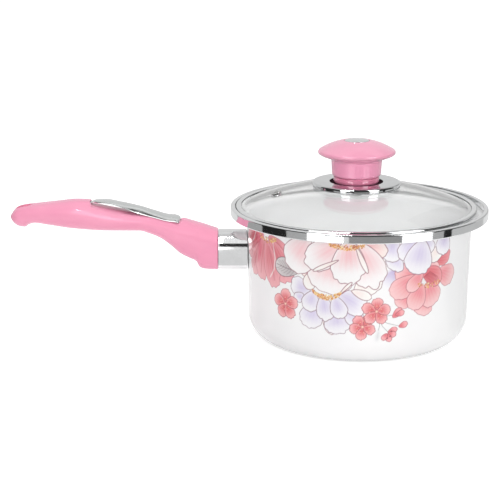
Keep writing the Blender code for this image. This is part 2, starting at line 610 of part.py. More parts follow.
def build():
    clear_scene()
    parts = collection("saucepan_with_glass_lid")
    cutters = collection("cutters")

    enamel = material("enamel_white", (0.90, 0.90, 0.91), 0.12)
    steel = material("polished_steel", (0.72, 0.73, 0.74), 0.12, 1.0)
    chrome = material("chrome_plate", (0.80, 0.81, 0.82), 0.06, 1.0)
    bracket_steel = material("bracket_steel", (0.55, 0.56, 0.57), 0.35, 1.0)
    pink = material("pink_phenolic", (0.97, 0.37, 0.53), 0.22)
    deep_pink = material("deep_pink_phenolic", (0.60, 0.17, 0.27), 0.2)
    fastener = material("zinc_plated_steel", (0.62, 0.63, 0.62), 0.3, 1.0)
    brass = material("brass", (0.78, 0.57, 0.28), 0.3, 1.0)
    silicone = material("clear_silicone", (0.85, 0.85, 0.83), 0.5)
    glass = material("tempered_glass", (0.86, 0.90, 0.88), 0.03)

    pot_body(parts, enamel)
    pot_rim_band(parts, steel)
    handle_bracket(parts, cutters, bracket_steel)
    ferrule(parts, cutters, steel)
    shade(handle_grip(parts, cutters, pink))
    shade(handle_trim_strip(parts, chrome))
    cylinder("strip_stud", STUD_R, *STUD_Z, fastener, parts, x=STUD_X, steps=STUD_STEPS)
    screw_solid("handle_screw", SCREW_HEAD_R, *HANDLE_SCREW_Z, fastener, parts, cutters, x=SCREW_X)
    washer("handle_screw_washer", SCREW_HOLE_R, 4.9 * MM, *HANDLE_WASHER_Z, fastener, parts, x=SCREW_X)
    tang_nut(parts, cutters, fastener)

    lid_glass(parts, cutters, glass)
    lid_rim_band(parts, steel)
    vent_eyelet(parts, steel)
    knob_rose(parts, chrome)
    knob_collar(parts, deep_pink)
    knob_body(parts, pink)
    knob_cap_disc(parts, chrome)
    knob_insert(parts, brass)
    washer("gasket_upper", SCREW_HOLE_R, 12.2 * MM, *UPPER_GASKET_Z, silicone, parts, x=LID_X)
    gasket_lower(parts, silicone)
    washer("knob_screw_washer", SCREW_HOLE_R, 8.0 * MM, *KNOB_WASHER_Z, fastener, parts, x=LID_X)
    screw_solid("knob_screw", SCREW_HEAD_R, *KNOB_SCREW_Z, fastener, parts, cutters, x=LID_X)


build()
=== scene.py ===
"""Looks of the saucepan with glass lid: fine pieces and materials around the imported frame.

Metres, +Z up, in the frame's own coordinates.  The handle points along -X, the front is -Y.
"""
import math
import random

import bmesh
import bpy
import numpy as np
from mathutils import Matrix, Vector

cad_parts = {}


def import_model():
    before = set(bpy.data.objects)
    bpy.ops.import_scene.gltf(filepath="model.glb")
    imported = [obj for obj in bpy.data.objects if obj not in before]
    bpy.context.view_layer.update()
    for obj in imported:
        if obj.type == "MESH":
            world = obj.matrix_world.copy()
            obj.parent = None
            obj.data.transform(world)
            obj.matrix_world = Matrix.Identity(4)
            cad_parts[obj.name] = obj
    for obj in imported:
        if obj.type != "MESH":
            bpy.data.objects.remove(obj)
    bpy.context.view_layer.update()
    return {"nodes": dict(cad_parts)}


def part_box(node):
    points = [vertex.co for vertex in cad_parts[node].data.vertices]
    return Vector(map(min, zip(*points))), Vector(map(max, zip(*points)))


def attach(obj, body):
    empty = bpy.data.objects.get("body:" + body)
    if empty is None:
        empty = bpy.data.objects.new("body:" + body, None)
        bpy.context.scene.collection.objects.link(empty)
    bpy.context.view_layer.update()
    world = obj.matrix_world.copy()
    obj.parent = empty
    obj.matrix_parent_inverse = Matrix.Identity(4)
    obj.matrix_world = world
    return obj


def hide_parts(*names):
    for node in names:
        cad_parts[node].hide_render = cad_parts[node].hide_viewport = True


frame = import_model()
MM = 0.001


# ---- sizes taken from the frame ----
def middle(node, axis):
    low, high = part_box(node)
    return (low[axis] + high[axis]) / 2


LID_X = middle("lid_glass", 0)                  # the lid's own axis
BAND_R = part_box("pot_rim_band")[1].y
LID_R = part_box("lid_rim_band")[1].y
ROSE_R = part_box("knob_rose")[1].y
KNOB_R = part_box("knob_body")[1].y

# the pan's outline, the same as the frame's
BODY_R_TOP, BODY_R_LOW, CORNER_R, WALL_T = 74.7 * MM, 73.55 * MM, 16.8 * MM, 1.15 * MM
FLARE_Z, SEAT_Z, UPSTAND_R, LIP_Z = 79.6 * MM, 84.5 * MM, 84.2 * MM, 88.1 * MM
# the lid's glass: its dome falls by DOME_H from GLASS_TOP_Z over GLASS_CURVE_R
GLASS_T, GLASS_CURVE_R, GLASS_HOLE_R = 3.4 * MM, 76.0 * MM, 5.0 * MM
GLASS_TOP_Z, DOME_H = 104.0 * MM, 15.0 * MM
VENT_R, VENT_ANGLE, VENT_HOLE_R = 53.0 * MM, math.pi, 2.7 * MM
ON_LID = Matrix.Translation((LID_X, 0, 0))

# edges that bend more than this many degrees stay sharp; rounded pieces allow a little more
SHARP, ROUNDED = 38, 50
FINE_TURN = 216                                 # steps round the widest turned pieces


# ---- mesh helpers ----
def place_object(name, mesh, mat, body, replaced=()):
    obj = bpy.data.objects.new(name, mesh)
    bpy.context.scene.collection.objects.link(obj)
    mesh.materials.append(mat)
    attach(obj, body)
    if replaced:
        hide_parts(*replaced)


def clean_mesh(bm, name, sharp_deg=SHARP):
    bmesh.ops.remove_doubles(bm, verts=bm.verts, dist=1e-7)
    bmesh.ops.recalc_face_normals(bm, faces=bm.faces)
    mesh = bpy.data.meshes.new(name)
    bm.to_mesh(mesh)
    bm.free()
    mesh.shade_smooth()
    mesh.set_sharp_from_angle(angle=math.radians(sharp_deg))
    return mesh


def fillets(points, steps=5):
    """A profile in metres from (r, z) or (r, z, rounding) points in millimetres."""
    made = []
    count = len(points)
    for i, p in enumerate(points):
        here = Vector(p[:2])
        reach = p[2] if len(p) > 2 else 0
        if not reach:
            made.append(here)
            continue
        before, after = Vector(points[i - 1][:2]), Vector(points[(i + 1) % count][:2])
        start = here + (before - here).normalized() * min(reach, (before - here).length * 0.49)
        end = here + (after - here).normalized() * min(reach, (after - here).length * 0.49)
        for k in range(steps + 1):
            t = k / steps
            made.append(start * (1 - t) ** 2 + here * 2 * t * (1 - t) + end * t * t)
    return [(p.x * MM, p.y * MM) for p in made]


def arc(centre_r, centre_z, radius, start_deg, end_deg, count):
    angles = [math.radians(start_deg + (end_deg - start_deg) * i / count) for i in range(count + 1)]
    return [(centre_r + radius * math.cos(a), centre_z + radius * math.sin(a)) for a in angles]


def turned_mesh(name, profile, ring=True, segments=160, place=None, sharp_deg=SHARP):
    """A profile turned about Z; with ring=False its ends lie on the axis."""
    bm = bmesh.new()
    rows = []
    for r, z in profile:
        if r < 1e-7:
            rows.append([bm.verts.new((0, 0, z))])
            continue
        rows.append([bm.verts.new((r * math.cos(2 * math.pi * j / segments),
                                   r * math.sin(2 * math.pi * j / segments), z)) for j in range(segments)])
    pairs = list(zip(rows, rows[1:])) + ([(rows[-1], rows[0])] if ring else [])
    for a, b in pairs:
        for j in range(segments):
            k = (j + 1) % segments
            corners = (a[j % len(a)], b[j % len(b)], b[k % len(b)], a[k % len(a)])
            bm.faces.new(list(dict.fromkeys(corners)))      # three at the axis, else four
    if place is not None:
        bmesh.ops.transform(bm, matrix=place, verts=bm.verts)
    return clean_mesh(bm, name, sharp_deg)


def loft_mesh(rings, name, tip=None, wrap=False, sharp_deg=SHARP):
    """Skins equal closed rings.  wrap joins the last ring to the first; otherwise the ends are
    capped, the first one with a tip point when given."""
    bm = bmesh.new()
    rows = [[bm.verts.new(p) for p in ring] for ring in rings]
    count = len(rows[0])
    for a, b in zip(rows, rows[1:] + (rows[:1] if wrap else [])):
        for i in range(count):
            j = (i + 1) % count
            bm.faces.new((a[i], a[j], b[j], b[i]))
    if not wrap:
        if tip is None:
            bm.faces.new(rows[0])
        else:
            point = bm.verts.new(tip)
            for i in range(count):
                bm.faces.new((point, rows[0][(i + 1) % count], rows[0][i]))
        bm.faces.new(rows[-1])
    return clean_mesh(bm, name, sharp_deg)


def cut_mesh(mesh, cutters):
    """The mesh with the cutter meshes taken away."""
    body = bpy.data.objects.new("cut_body", mesh)
    bpy.context.scene.collection.objects.link(body)
    tools = []
    for cutter in cutters:
        tool = bpy.data.objects.new("cut_tool", cutter)
        bpy.context.scene.collection.objects.link(tool)
        mod = body.modifiers.new("cut", "BOOLEAN")
        mod.operation, mod.solver, mod.object = "DIFFERENCE", "EXACT", tool
        tools.append(tool)
    bpy.context.view_layer.update()
    done = bpy.data.meshes.new_from_object(body.evaluated_get(bpy.context.evaluated_depsgraph_get()))
    for obj in [body] + tools:
        bpy.data.objects.remove(obj, do_unlink=True)
    done.name = mesh.name + "_cut"
    done.materials.clear()
    done.shade_smooth()
    done.set_sharp_from_angle(angle=math.radians(ROUNDED))
    return done


def rod_mesh(radius, low, high, x, segments=48, stretch=0.0):
    """A straight rod along Z; stretch makes it oblong along X."""
    rings = []
    for z in (low, high):
        ring = []
        for i in range(segments):
            a = 2 * math.pi * i / segments
            side = stretch if math.cos(a) > 0 else -stretch
            ring.append((x + side + radius * math.cos(a), radius * math.sin(a), z))
        rings.append(ring)
    return loft_mesh(rings, "rod")


def smooth_curve(points):
    """A monotone cubic through (x, value) points in millimetres, as a function in metres."""
    xs = [p[0] * MM for p in points]
    ys = [p[1] * MM for p in points]
    slopes = [(ys[i + 1] - ys[i]) / (xs[i + 1] - xs[i]) for i in range(len(xs) - 1)]
    tangents = [slopes[0]]
    for before, after in zip(slopes, slopes[1:]):
        same_way = before * after > 0
        tangents.append(2 * before * after / (before + after) if same_way else 0.0)
    tangents.append(slopes[-1])

    def value(x):
        x = min(max(x, xs[0]), xs[-1])
        i = max(j for j in range(len(xs) - 1) if xs[j] <= x)
        h = xs[i + 1] - xs[i]
        t = (x - xs[i]) / h
        return ((2 * t**3 - 3 * t**2 + 1) * ys[i] + (t**3 - 2 * t**2 + t) * h * tangents[i]
                + (-2 * t**3 + 3 * t**2) * ys[i + 1] + (t**3 - t**2) * h * tangents[i + 1])
    return value


# ---- materials ----
def linear(r, g, b):
    """Linear colour from 0..255 display values."""
    out = []
    for v in (r, g, b):
        v /= 255
        out.append(v / 12.92 if v <= 0.04045 else ((v + 0.055) / 1.055) ** 2.4)
    return tuple(out)


class Nodes:
    """A short way to write a material's nodes."""

    def __init__(self, name):
        self.mat = bpy.data.materials.new(name)
        self.mat.use_nodes = True
        self.tree = self.mat.node_tree
        self.shader = self.tree.nodes["Principled BSDF"]
        self.coords = self.node("TexCoord").outputs["Object"]

    def node(self, kind, **values):
        made = self.tree.nodes.new("ShaderNode" + kind)
        for key, value in values.items():
            made.inputs[key.replace("_", " ")].default_value = value
        return made

    def set(self, **values):
        for key, value in values.items():
            self.shader.inputs[key.replace("_", " ")].default_value = value

    def link(self, a, b):
        self.tree.links.new(a, b)

    def fill(self, sockets, values):
        for socket, value in zip(sockets, values):
            if hasattr(value, "links"):
                self.link(value, socket)
            else:
                socket.default_value = (*value, 1.0) if isinstance(value, tuple) else value

    def math(self, operation, a, b=0.0):
        node = self.node("Math")
        node.operation = operation
        self.fill(node.inputs, (a, b))
        return node.outputs[0]

    def noise(self, scale, detail=3.0, rough=0.5, vector=None):
        node = self.node("TexNoise", Scale=scale, Detail=detail, Roughness=rough)
        self.link(vector or self.coords, node.inputs["Vector"])
        return node.outputs["Fac"]

    def spread(self, value, low, high, start=0.3, end=0.7):
        node = self.node("MapRange", From_Min=start, From_Max=end, To_Min=low, To_Max=high)
        self.link(value, node.inputs["Value"])
        return node.outputs["Result"]

    def mix(self, factor, a, b):
        node = self.node("Mix")
        node.data_type = "RGBA"
        self.fill([s for s in node.inputs if s.enabled], (factor, a, b))
        return [s for s in node.outputs if s.enabled][0]

    def split(self, vector):
        parts = self.node("SeparateXYZ")
        self.link(vector, parts.inputs[0])
        return parts.outputs

    def turned_coords(self, centre_x):
        """Coordinates that follow a turned piece: radius, height and a slow change around."""
        around = 6 * MM
        x, y, z = self.split(self.coords)
        x = self.math("SUBTRACT", x, centre_x)
        squares = self.math("ADD", self.math("MULTIPLY", x, x), self.math("MULTIPLY", y, y))
        radius = self.math("SQRT", squares)
        joined = self.node("CombineXYZ")
        self.fill(joined.inputs, (radius, self.math("MULTIPLY", self.math("ARCTAN2", y, x), around), z))
        return joined.outputs[0]

    def feed(self, key, socket):
        self.link(socket, self.shader.inputs[key])

    def bump(self, height, depth, strength):
        node = self.node("Bump", Strength=strength, Distance=depth)
        self.link(height, node.inputs["Height"])
        self.feed("Normal", node.outputs["Normal"])

    def glow(self, strength):
        """Makes the material shine evenly; returns its colour socket."""
        self.tree.nodes.remove(self.shader)
        light = self.node("Emission", Strength=strength)
        self.link(light.outputs[0], self.tree.nodes["Material Output"].inputs["Surface"])
        self.mat.cycles.emission_sampling = "NONE"
        return light.inputs["Color"]


def enamel(name, printed=False):
    """White vitreous enamel: glossy, very slightly wavy, with a cool tone in its thinner places."""
    n = Nodes(name)
    base = n.mix(n.spread(n.noise(22, 2), 0, 1), linear(246, 246, 247), linear(250, 250, 250))
    if printed:
        paint = n.node("Attribute")
        paint.attribute_name = "print_colour"
        ink = n.node("VectorMath")
        ink.operation = "SCALE"
        n.link(paint.outputs["Color"], ink.inputs[0])
        n.link(n.spread(n.noise(2600, 2), 0.955, 1.0), ink.inputs["Scale"])
        base = n.mix(paint.outputs["Alpha"], base, ink.outputs[0])
    n.feed("Base Color", base)
    n.feed("Roughness", n.spread(n.noise(160, 3), 0.06, 0.12))
    n.bump(n.noise(170, 2), 0.05 * MM, 0.35)
    n.set(Specular_IOR_Level=0.55, IOR=1.5)
    return n.mat


def metal(name, tone, low, high, turned_at=None, marks=900, depth=0.004):
    """A metal with soft smudges and fine marks, which follow the turning when it has a centre."""
    n = Nodes(name)
    where = n.turned_coords(turned_at) if turned_at is not None else n.coords
    smudge = n.noise(120, 4, 0.6)
    dark = tuple(0.93 * c for c in tone)
    n.feed("Base Color", n.mix(n.spread(smudge, 0, 1), tone, dark))
    n.set(Metallic=1.0)
    fine = n.noise(marks, 3, 0.6, where)
    both = n.math("ADD", n.math("MULTIPLY", smudge, 0.6), n.math("MULTIPLY", fine, 0.4))
    n.feed("Roughness", n.spread(both, low, high))
    n.bump(fine, depth * MM, 0.5)
    return n.mat


def phenolic(name, deep, pale, coat, shine=0.5, low=None):
    """Moulded glossy thermoset: flow marks in the colour, a faint ripple, a polished skin, and below a given
    height a flat tone of painted light and shade.
    """
    n = Nodes(name)
    stretch = n.node("Mapping", Scale=(0.35, 1.0, 1.0))
    n.link(n.coords, stretch.inputs["Vector"])
    flow = n.noise(90, 4, 0.55, stretch.outputs[0])
    speck = n.noise(1800, 2)
    tone = n.math("ADD", n.math("MULTIPLY", flow, 0.75), n.math("MULTIPLY", speck, 0.25))
    shade = n.mix(n.spread(tone, 0, 1), deep, pale)
    n.set(Coat_Weight=coat, Coat_Roughness=0.06, Specular_IOR_Level=shine)
    # painted light and shade: below the given height the piece takes a flat tone and gloss of its own,
    # standing in for how light falls there
    if low is not None:             # its part below a height has another tone and its own gloss
        height, painted_light_and_shade_tone, gloss = low
        above = n.spread(n.split(n.coords)[2], 0, 1, height - 0.5 * MM, height + 0.3 * MM)
        shade = n.mix(above, painted_light_and_shade_tone, shade)
        for key, full in (("Coat Weight", coat), ("Specular IOR Level", shine)):
            n.feed(key, n.spread(above, full * gloss, full, 0, 1))
    n.feed("Base Color", shade)
    n.feed("Roughness", n.spread(n.noise(260, 3), 0.17, 0.27))
    n.bump(n.noise(420, 2), 0.03 * MM, 0.3)
    return n.mat


def glass():
    """Clear tempered glass, with a trace of green and of waviness; it casts next to no shadow."""
    n = Nodes("tempered_glass")
    tone = n.mix(n.spread(n.noise(30, 2), 0, 1), (0.996, 0.998, 0.997), (0.999, 1.0, 0.999))
    n.feed("Base Color", tone)
    n.set(Transmission_Weight=1.0, IOR=1.5)
    n.feed("Roughness", n.spread(n.noise(60, 3), 0.0, 0.012))
    n.bump(n.noise(35, 1), 0.03 * MM, 0.25)
    clear = n.node("BsdfTransparent", Color=(0.97, 0.98, 0.975, 1))
    pick = n.node("MixShader")
    shadow = n.node("LightPath").outputs["Is Shadow Ray"]
    n.fill(pick.inputs, (shadow, n.shader.outputs[0], clear.outputs[0]))
    n.link(pick.outputs[0], n.tree.nodes["Material Output"].inputs["Surface"])
    return n.mat


def silicone():
    n = Nodes("clear_silicone")
    tone = n.mix(n.spread(n.noise(200, 3), 0, 1), (0.80, 0.80, 0.78), (0.88, 0.88, 0.86))
    n.feed("Base Color", tone)
    n.feed("Roughness", n.spread(n.noise(300, 3), 0.38, 0.55))
    n.bump(n.noise(900, 2), 0.02 * MM, 0.4)
    n.set(Transmission_Weight=0.25, IOR=1.41)
    return n.mat


ENAMEL = enamel("white_enamel")
PRINTED = enamel("printed_enamel", printed=True)
STEEL = metal("polished_steel", (0.83, 0.84, 0.845), 0.035, 0.10, turned_at=0.0)
LID_STEEL = metal("polished_steel_lid", (0.83, 0.84, 0.845), 0.035, 0.10, turned_at=LID_X)
SLEEVE = metal("polished_steel_sleeve", (0.84, 0.845, 0.85), 0.05, 0.12, marks=700)
ROSE_CHROME = metal("chrome_plate_rose", (0.69, 0.70, 0.705), 0.03, 0.08, turned_at=LID_X, depth=0.002)
DISC_CHROME = metal("chrome_plate_disc", (0.80, 0.81, 0.815), 0.18, 0.26, turned_at=LID_X)
EYELET_STEEL = metal("steel_eyelet", (0.50, 0.50, 0.49), 0.10, 0.22, marks=1500)
STRIP_CHROME = metal("chrome_strip", (0.74, 0.76, 0.755), 0.10, 0.20, marks=500)
BRACKET = metal("bracket_steel", (0.62, 0.63, 0.64), 0.28, 0.45, marks=400, depth=0.02)
ZINC = metal("zinc_plate", (0.62, 0.63, 0.62), 0.22, 0.38, marks=600, depth=0.01)
BRASS = metal("turned_brass", (0.78, 0.57, 0.28), 0.2, 0.34, turned_at=LID_X)
# painted light: below 121 mm the knob's neck is a lighter pink, lifting the shade the cap casts on it
PINK = phenolic("pink_phenolic", linear(242, 162, 189), linear(248, 170, 197), coat=0.30,
                low=(121.0 * MM, linear(255, 170, 202), 1.0))
GRIP_PINK = phenolic("pink_phenolic_grip", linear(244, 158, 188), linear(251, 167, 195), coat=0.25,
                     shine=0.25)
# painted shade: below 105.6 mm the collar's flange is near-black and without gloss, a painted shadow in the
# gap under the rose
DEEP_PINK = phenolic("deep_pink_phenolic", linear(234, 138, 170), linear(241, 147, 179), coat=1.0,
                     low=(105.6 * MM, (0.05, 0.03, 0.04), 0.0))
GLASS = glass()
SILICONE = silicone()


# ---- pan ----
def wall_r(z):
    """Outer radius of the pan's wall, through the corner, the wall and the flare."""
    if z < CORNER_R:
        dz = CORNER_R - z
        return BODY_R_LOW - CORNER_R + math.sqrt(max(0.0, CORNER_R**2 - dz * dz))
    if z <= FLARE_Z:
        return BODY_R_LOW + (BODY_R_TOP - BODY_R_LOW) * (z - CORNER_R) / (FLARE_Z - CORNER_R)
    flare = SEAT_Z - 1 * MM - FLARE_Z
    dz = min(z - FLARE_Z, flare * 0.98)
    return BODY_R_TOP + flare - math.sqrt(flare**2 - dz * dz)


def pot_body():
    inner_corner = CORNER_R - WALL_T
    flare = SEAT_Z - FLARE_Z
    lip = UPSTAND_R - 0.5 * MM

    def wall(share, inset=0.0):
        r = BODY_R_LOW - inset + (BODY_R_TOP - BODY_R_LOW) * share
        return (r, CORNER_R + (FLARE_Z - CORNER_R) * share)
    profile = [(0.0, WALL_T), (0.6 * (BODY_R_LOW - CORNER_R), WALL_T)]
    profile += arc(BODY_R_LOW - CORNER_R, CORNER_R, inner_corner, -90, 0, 16)
    profile += [wall(share, WALL_T) for share in (0.35, 0.7)]
    profile += arc(BODY_R_TOP - WALL_T + flare, FLARE_Z, flare, 180, 90, 8)
    inside = UPSTAND_R - 1 * MM
    profile += arc(inside - 1.2 * MM, SEAT_Z + 1.2 * MM, 1.2 * MM, -90, 0, 5)
    profile += arc(lip, LIP_Z, 0.5 * MM, 180, 0, 6)
    corner = 1.6 * MM
    under = SEAT_Z - 1 * MM
    profile += arc(UPSTAND_R - corner, under + corner, corner, 0, -90, 6)
    flare_out = under - FLARE_Z
    profile += arc(BODY_R_TOP + flare_out, FLARE_Z, flare_out, 90, 180, 8)
    profile += [wall(share) for share in (0.8, 0.6, 0.4, 0.2)]
    profile += arc(BODY_R_LOW - CORNER_R, CORNER_R, CORNER_R, 0, -90, 20)
    profile += [(0.55 * (BODY_R_LOW - CORNER_R), 0.0), (0.0, 0.0)]
    mesh = turned_mesh("pot_body_fine", profile, ring=False, segments=FINE_TURN)
    place_object("pot_body_fine", mesh, ENAMEL, "pan", ("pot_body",))


def pot_rim_band():
    outer, inner, edge = BAND_R / MM, 82.4, 0.5
    profile = fillets([(inner, 89.5, edge), (outer, 89.5, 1.2), (outer, 88.1), (outer, 84.4),
                       (outer, 83.8, edge), (84.5, 83.8, 0.1), (84.5, 88.9), (82.9, 88.9), (82.9, 86.2, 0.1),
                       (inner, 86.2, 0.1)])
    mesh = turned_mesh("pot_rim_band_fine", profile, segments=FINE_TURN, sharp_deg=ROUNDED)
    place_object("pot_rim_band_fine", mesh, STEEL, "pan", ("pot_rim_band",))


# ---- handle ----
GRIP_TIP_X, GRIP_END_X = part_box("handle_grip")[0].x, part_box("handle_grip")[1].x
GRIP_TOP = [
    (-231.8, 83.6), (-229.4, 86.8), (-226.5, 88.5), (-221.0, 89.7), (-212.0, 90.75), (-200.0, 92.1),
    (-188.0, 93.3), (-179.0, 92.9), (-177.6, 90.2), (-170.0, 88.8), (-160.0, 86.8), (-150.0, 84.8),
    (-142.0, 84.6), (-136.0, 84.0), (-130.0, 82.3), (-124.0, 80.9), (-118.8, 79.6), (-117.8, 80.3),
    (-110.0, 78.3), (-103.0, 76.2), (-98.0, 74.4), (-94.0, 73.1)]
GRIP_SHOULDER = [
    (-200.0, 92.1), (-190.0, 92.9), (-180.0, 91.7), (-170.0, 89.0), (-160.0, 86.9), (-150.0, 85.3),
    (-140.0, 84.4), (-130.0, 82.3), (-118.0, 80.0), (-110.0, 78.3)]
GRIP_BOTTOM = [
    (-231.8, 81.0), (-229.6, 77.4), (-226.0, 75.6), (-222.4, 75.1), (-219.6, 76.9), (-216.0, 77.8),
    (-206.0, 76.4), (-190.0, 74.0), (-170.0, 72.7), (-146.0, 72.6), (-139.0, 70.5), (-132.6, 67.7),
    (-126.0, 62.9), (-119.0, 56.8), (-113.0, 53.7), (-108.6, 51.7), (-106.2, 47.5), (-102.5, 46.3),
    (-94.0, 46.0)]
GRIP_HALF_W = [
    (-231.8, 8.5), (-226.0, 10.0), (-215.0, 10.6), (-190.0, 12.2), (-165.0, 12.8), (-140.0, 11.7),
    (-120.0, 11.2), (-94.0, 11.0)]
HANG_X, HANG_R, HANG_STRETCH = -223.2 * MM, 3.5 * MM, 2.0 * MM
SCREW_X, STUD_X = middle("handle_screw", 0), middle("strip_stud", 0)
TANG_Z = 56.0 * MM
TIP_ROUND = 6.4 * MM                            # length of the grip's rounded far end
FERRULE_HALF_H, FERRULE_HALF_W, FERRULE_T, FERRULE_MEET_R = 13.15 * MM, 10.8 * MM, 0.8 * MM, 74.95 * MM


def grip_stations():
    """Places along the grip, closer together where its outline turns quickly."""
    steps = 14
    turns = [math.pi / 2 * i / steps for i in range(1, steps + 1)]
    xs = [GRIP_TIP_X + TIP_ROUND * (1 - math.cos(turn)) + 0.02 * MM for turn in turns]
    x = xs[-1]
    tight = [(-223.5, -215.0), (-180.2, -176.6), (-119.6, -117.0), (-108.2, -103.6)]
    while x < GRIP_END_X - 1.6 * MM:
        near = any(a * MM - 1.2 * MM < x < b * MM for a, b in tight)
        x += (0.5 if near else 1.7) * MM
        xs.append(min(x, GRIP_END_X - 1.0 * MM))
    return xs + [GRIP_END_X - 0.4 * MM, GRIP_END_X - 0.1 * MM, GRIP_END_X]


def grip_section(x, curves):
    """The grip's section at x: a superellipse whose crown follows the strip's bed."""
    count = 72
    top, bottom, shoulder, half_w = curves
    reach = min(1.0, (x - GRIP_TIP_X) / TIP_ROUND)
    ease = math.sqrt(1 - (1 - reach) ** 2)
    if x > GRIP_END_X - 0.5 * MM:
        ease = 0.995 - 0.035 * (1 - (GRIP_END_X - x) / (0.5 * MM)) ** 2
    blend = min(1.0, max(0.0, (x + 125 * MM) / (25 * MM)))
    power, share = 2.3 + 0.7 * blend, 0.56 - 0.06 * blend
    high, low = top(x), bottom(x)
    side_high = shoulder(x) if -200 * MM < x < -110 * MM else high
    centre = low + share * (side_high - low)
    width_ease = 0.35 + 0.65 * ease if reach < 1 else ease
    ring = []
    for i in range(count):
        a = 2 * math.pi * i / count
        c, s = math.cos(a), math.sin(a)
        crown = min(1.0, max(0.0, (s - 0.80) / 0.13))
        crown = crown * crown * (3 - 2 * crown)
        upper = side_high + (high - side_high) * crown
        reach_z = (upper - centre) if s > 0 else (centre - low)
        ring.append((x, width_ease * half_w(x) * math.copysign(abs(c) ** (2 / power), c),
                     centre + ease ** 0.3 * reach_z * math.copysign(abs(s) ** (2 / power), s)))
    return ring


def box_mesh(low, high):
    bm = bmesh.new()
    size = [b - a for a, b in zip(low, high)]
    centre = [(a + b) / 2 for a, b in zip(low, high)]
    bmesh.ops.create_cube(bm, size=1.0, matrix=Matrix.Translation(centre) @ Matrix.Diagonal((*size, 1)))
    return clean_mesh(bm, "block")


def handle_grip():
    curves = [smooth_curve(p) for p in (GRIP_TOP, GRIP_BOTTOM, GRIP_SHOULDER, GRIP_HALF_W)]
    rings = [grip_section(x, curves) for x in grip_stations()]
    tip_z = 0.5 * (curves[0](GRIP_TIP_X) + curves[1](GRIP_TIP_X))
    mesh = loft_mesh(rings, "handle_grip_fine", tip=(GRIP_TIP_X, 0.0, tip_z), sharp_deg=ROUNDED)
    past_end = -90 * MM
    hanging_hole = rod_mesh(HANG_R, 60 * MM, 110 * MM, x=HANG_X, stretch=HANG_STRETCH)
    tang_slot = box_mesh((-110 * MM, -7.4 * MM, TANG_Z - 1.8 * MM), (past_end, 7.4 * MM, TANG_Z + 1.8 * MM))
    nut_pocket = box_mesh((SCREW_X - 5.2 * MM, -4.5 * MM, TANG_Z), (past_end, 4.5 * MM, 62.6 * MM))
    screw_hole = rod_mesh(2.85 * MM, 40 * MM, 56 * MM, x=SCREW_X, segments=32)
    head_recess = rod_mesh(5.4 * MM, 40 * MM, 51 * MM, x=SCREW_X)
    strip_notch = box_mesh((-184 * MM, -3.3 * MM, 90.4 * MM), (-177 * MM, 3.3 * MM, 92.6 * MM))
    stud_hole = rod_mesh(1.55 * MM, 72 * MM, 90 * MM, x=STUD_X, segments=24)
    mesh = cut_mesh(mesh, [hanging_hole, tang_slot, nut_pocket, screw_hole, head_recess, strip_notch,
                           stud_hole])
    place_object("handle_grip_fine", mesh, GRIP_PINK, "pan", ("handle_grip",))


def ferrule():
    """Polished sleeve, its far end cut to the pan's curve."""
    centre_z, near_x = middle("ferrule", 2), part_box("ferrule")[0].x
    count, power = 96, 3.0

    def section(less, x=None):
        ring = []
        for i in range(count):
            a = 2 * math.pi * i / count
            c, s = math.cos(a), math.sin(a)
            y = (FERRULE_HALF_W - less) * math.copysign(abs(c) ** (2 / power), c)
            z = centre_z + (FERRULE_HALF_H - less) * math.copysign(abs(s) ** (2 / power), s)
            ring.append((x if x is not None else -math.sqrt(FERRULE_MEET_R**2 - y * y), y, z))
        return ring
    rings = [section(FERRULE_T, near_x + 0.1 * MM), section(FERRULE_T * 0.75, near_x),
             section(0.25 * MM, near_x), section(0.06 * MM, near_x + 0.12 * MM)]
    rings += [section(0.0, near_x + d * MM) for d in (0.35, 4, 8, 12)]
    rings += [section(0.0), section(FERRULE_T)]
    mesh = loft_mesh(rings, "ferrule_fine", wrap=True)
    place_object("ferrule_fine", mesh, SLEEVE, "pan", ("ferrule",))


STRIP_FAR_X, STRIP_FOOT_X, STRIP_T = -182.0 * MM, -119.2 * MM, 0.8 * MM
STRIP_CROWN = [
    (-182.0, 91.7), (-178.2, 92.0), (-175.0, 93.0), (-168.0, 93.1), (-159.0, 91.7), (-146.0, 88.9),
    (-136.0, 85.7), (-126.5, 83.0), (-122.0, 82.5), (-119.2, 81.4)]
STRIP_HALF_W = [
    (-182.0, 2.6), (-178.0, 3.0), (-170.0, 5.6), (-160.0, 6.8), (-146.0, 8.4), (-130.0, 8.6),
    (-119.2, 8.8)]
STRIP_DROP = [
    (-182.0, 0.2), (-176.0, 0.3), (-165.0, 0.9), (-155.0, 1.8), (-146.0, 3.0), (-136.0, 2.4),
    (-126.0, 2.1), (-119.2, 2.1)]


RIB_XS, RIB_HALF_W, RIB_H = (-125.4, -123.3, -121.2), 0.62, 0.34 * MM


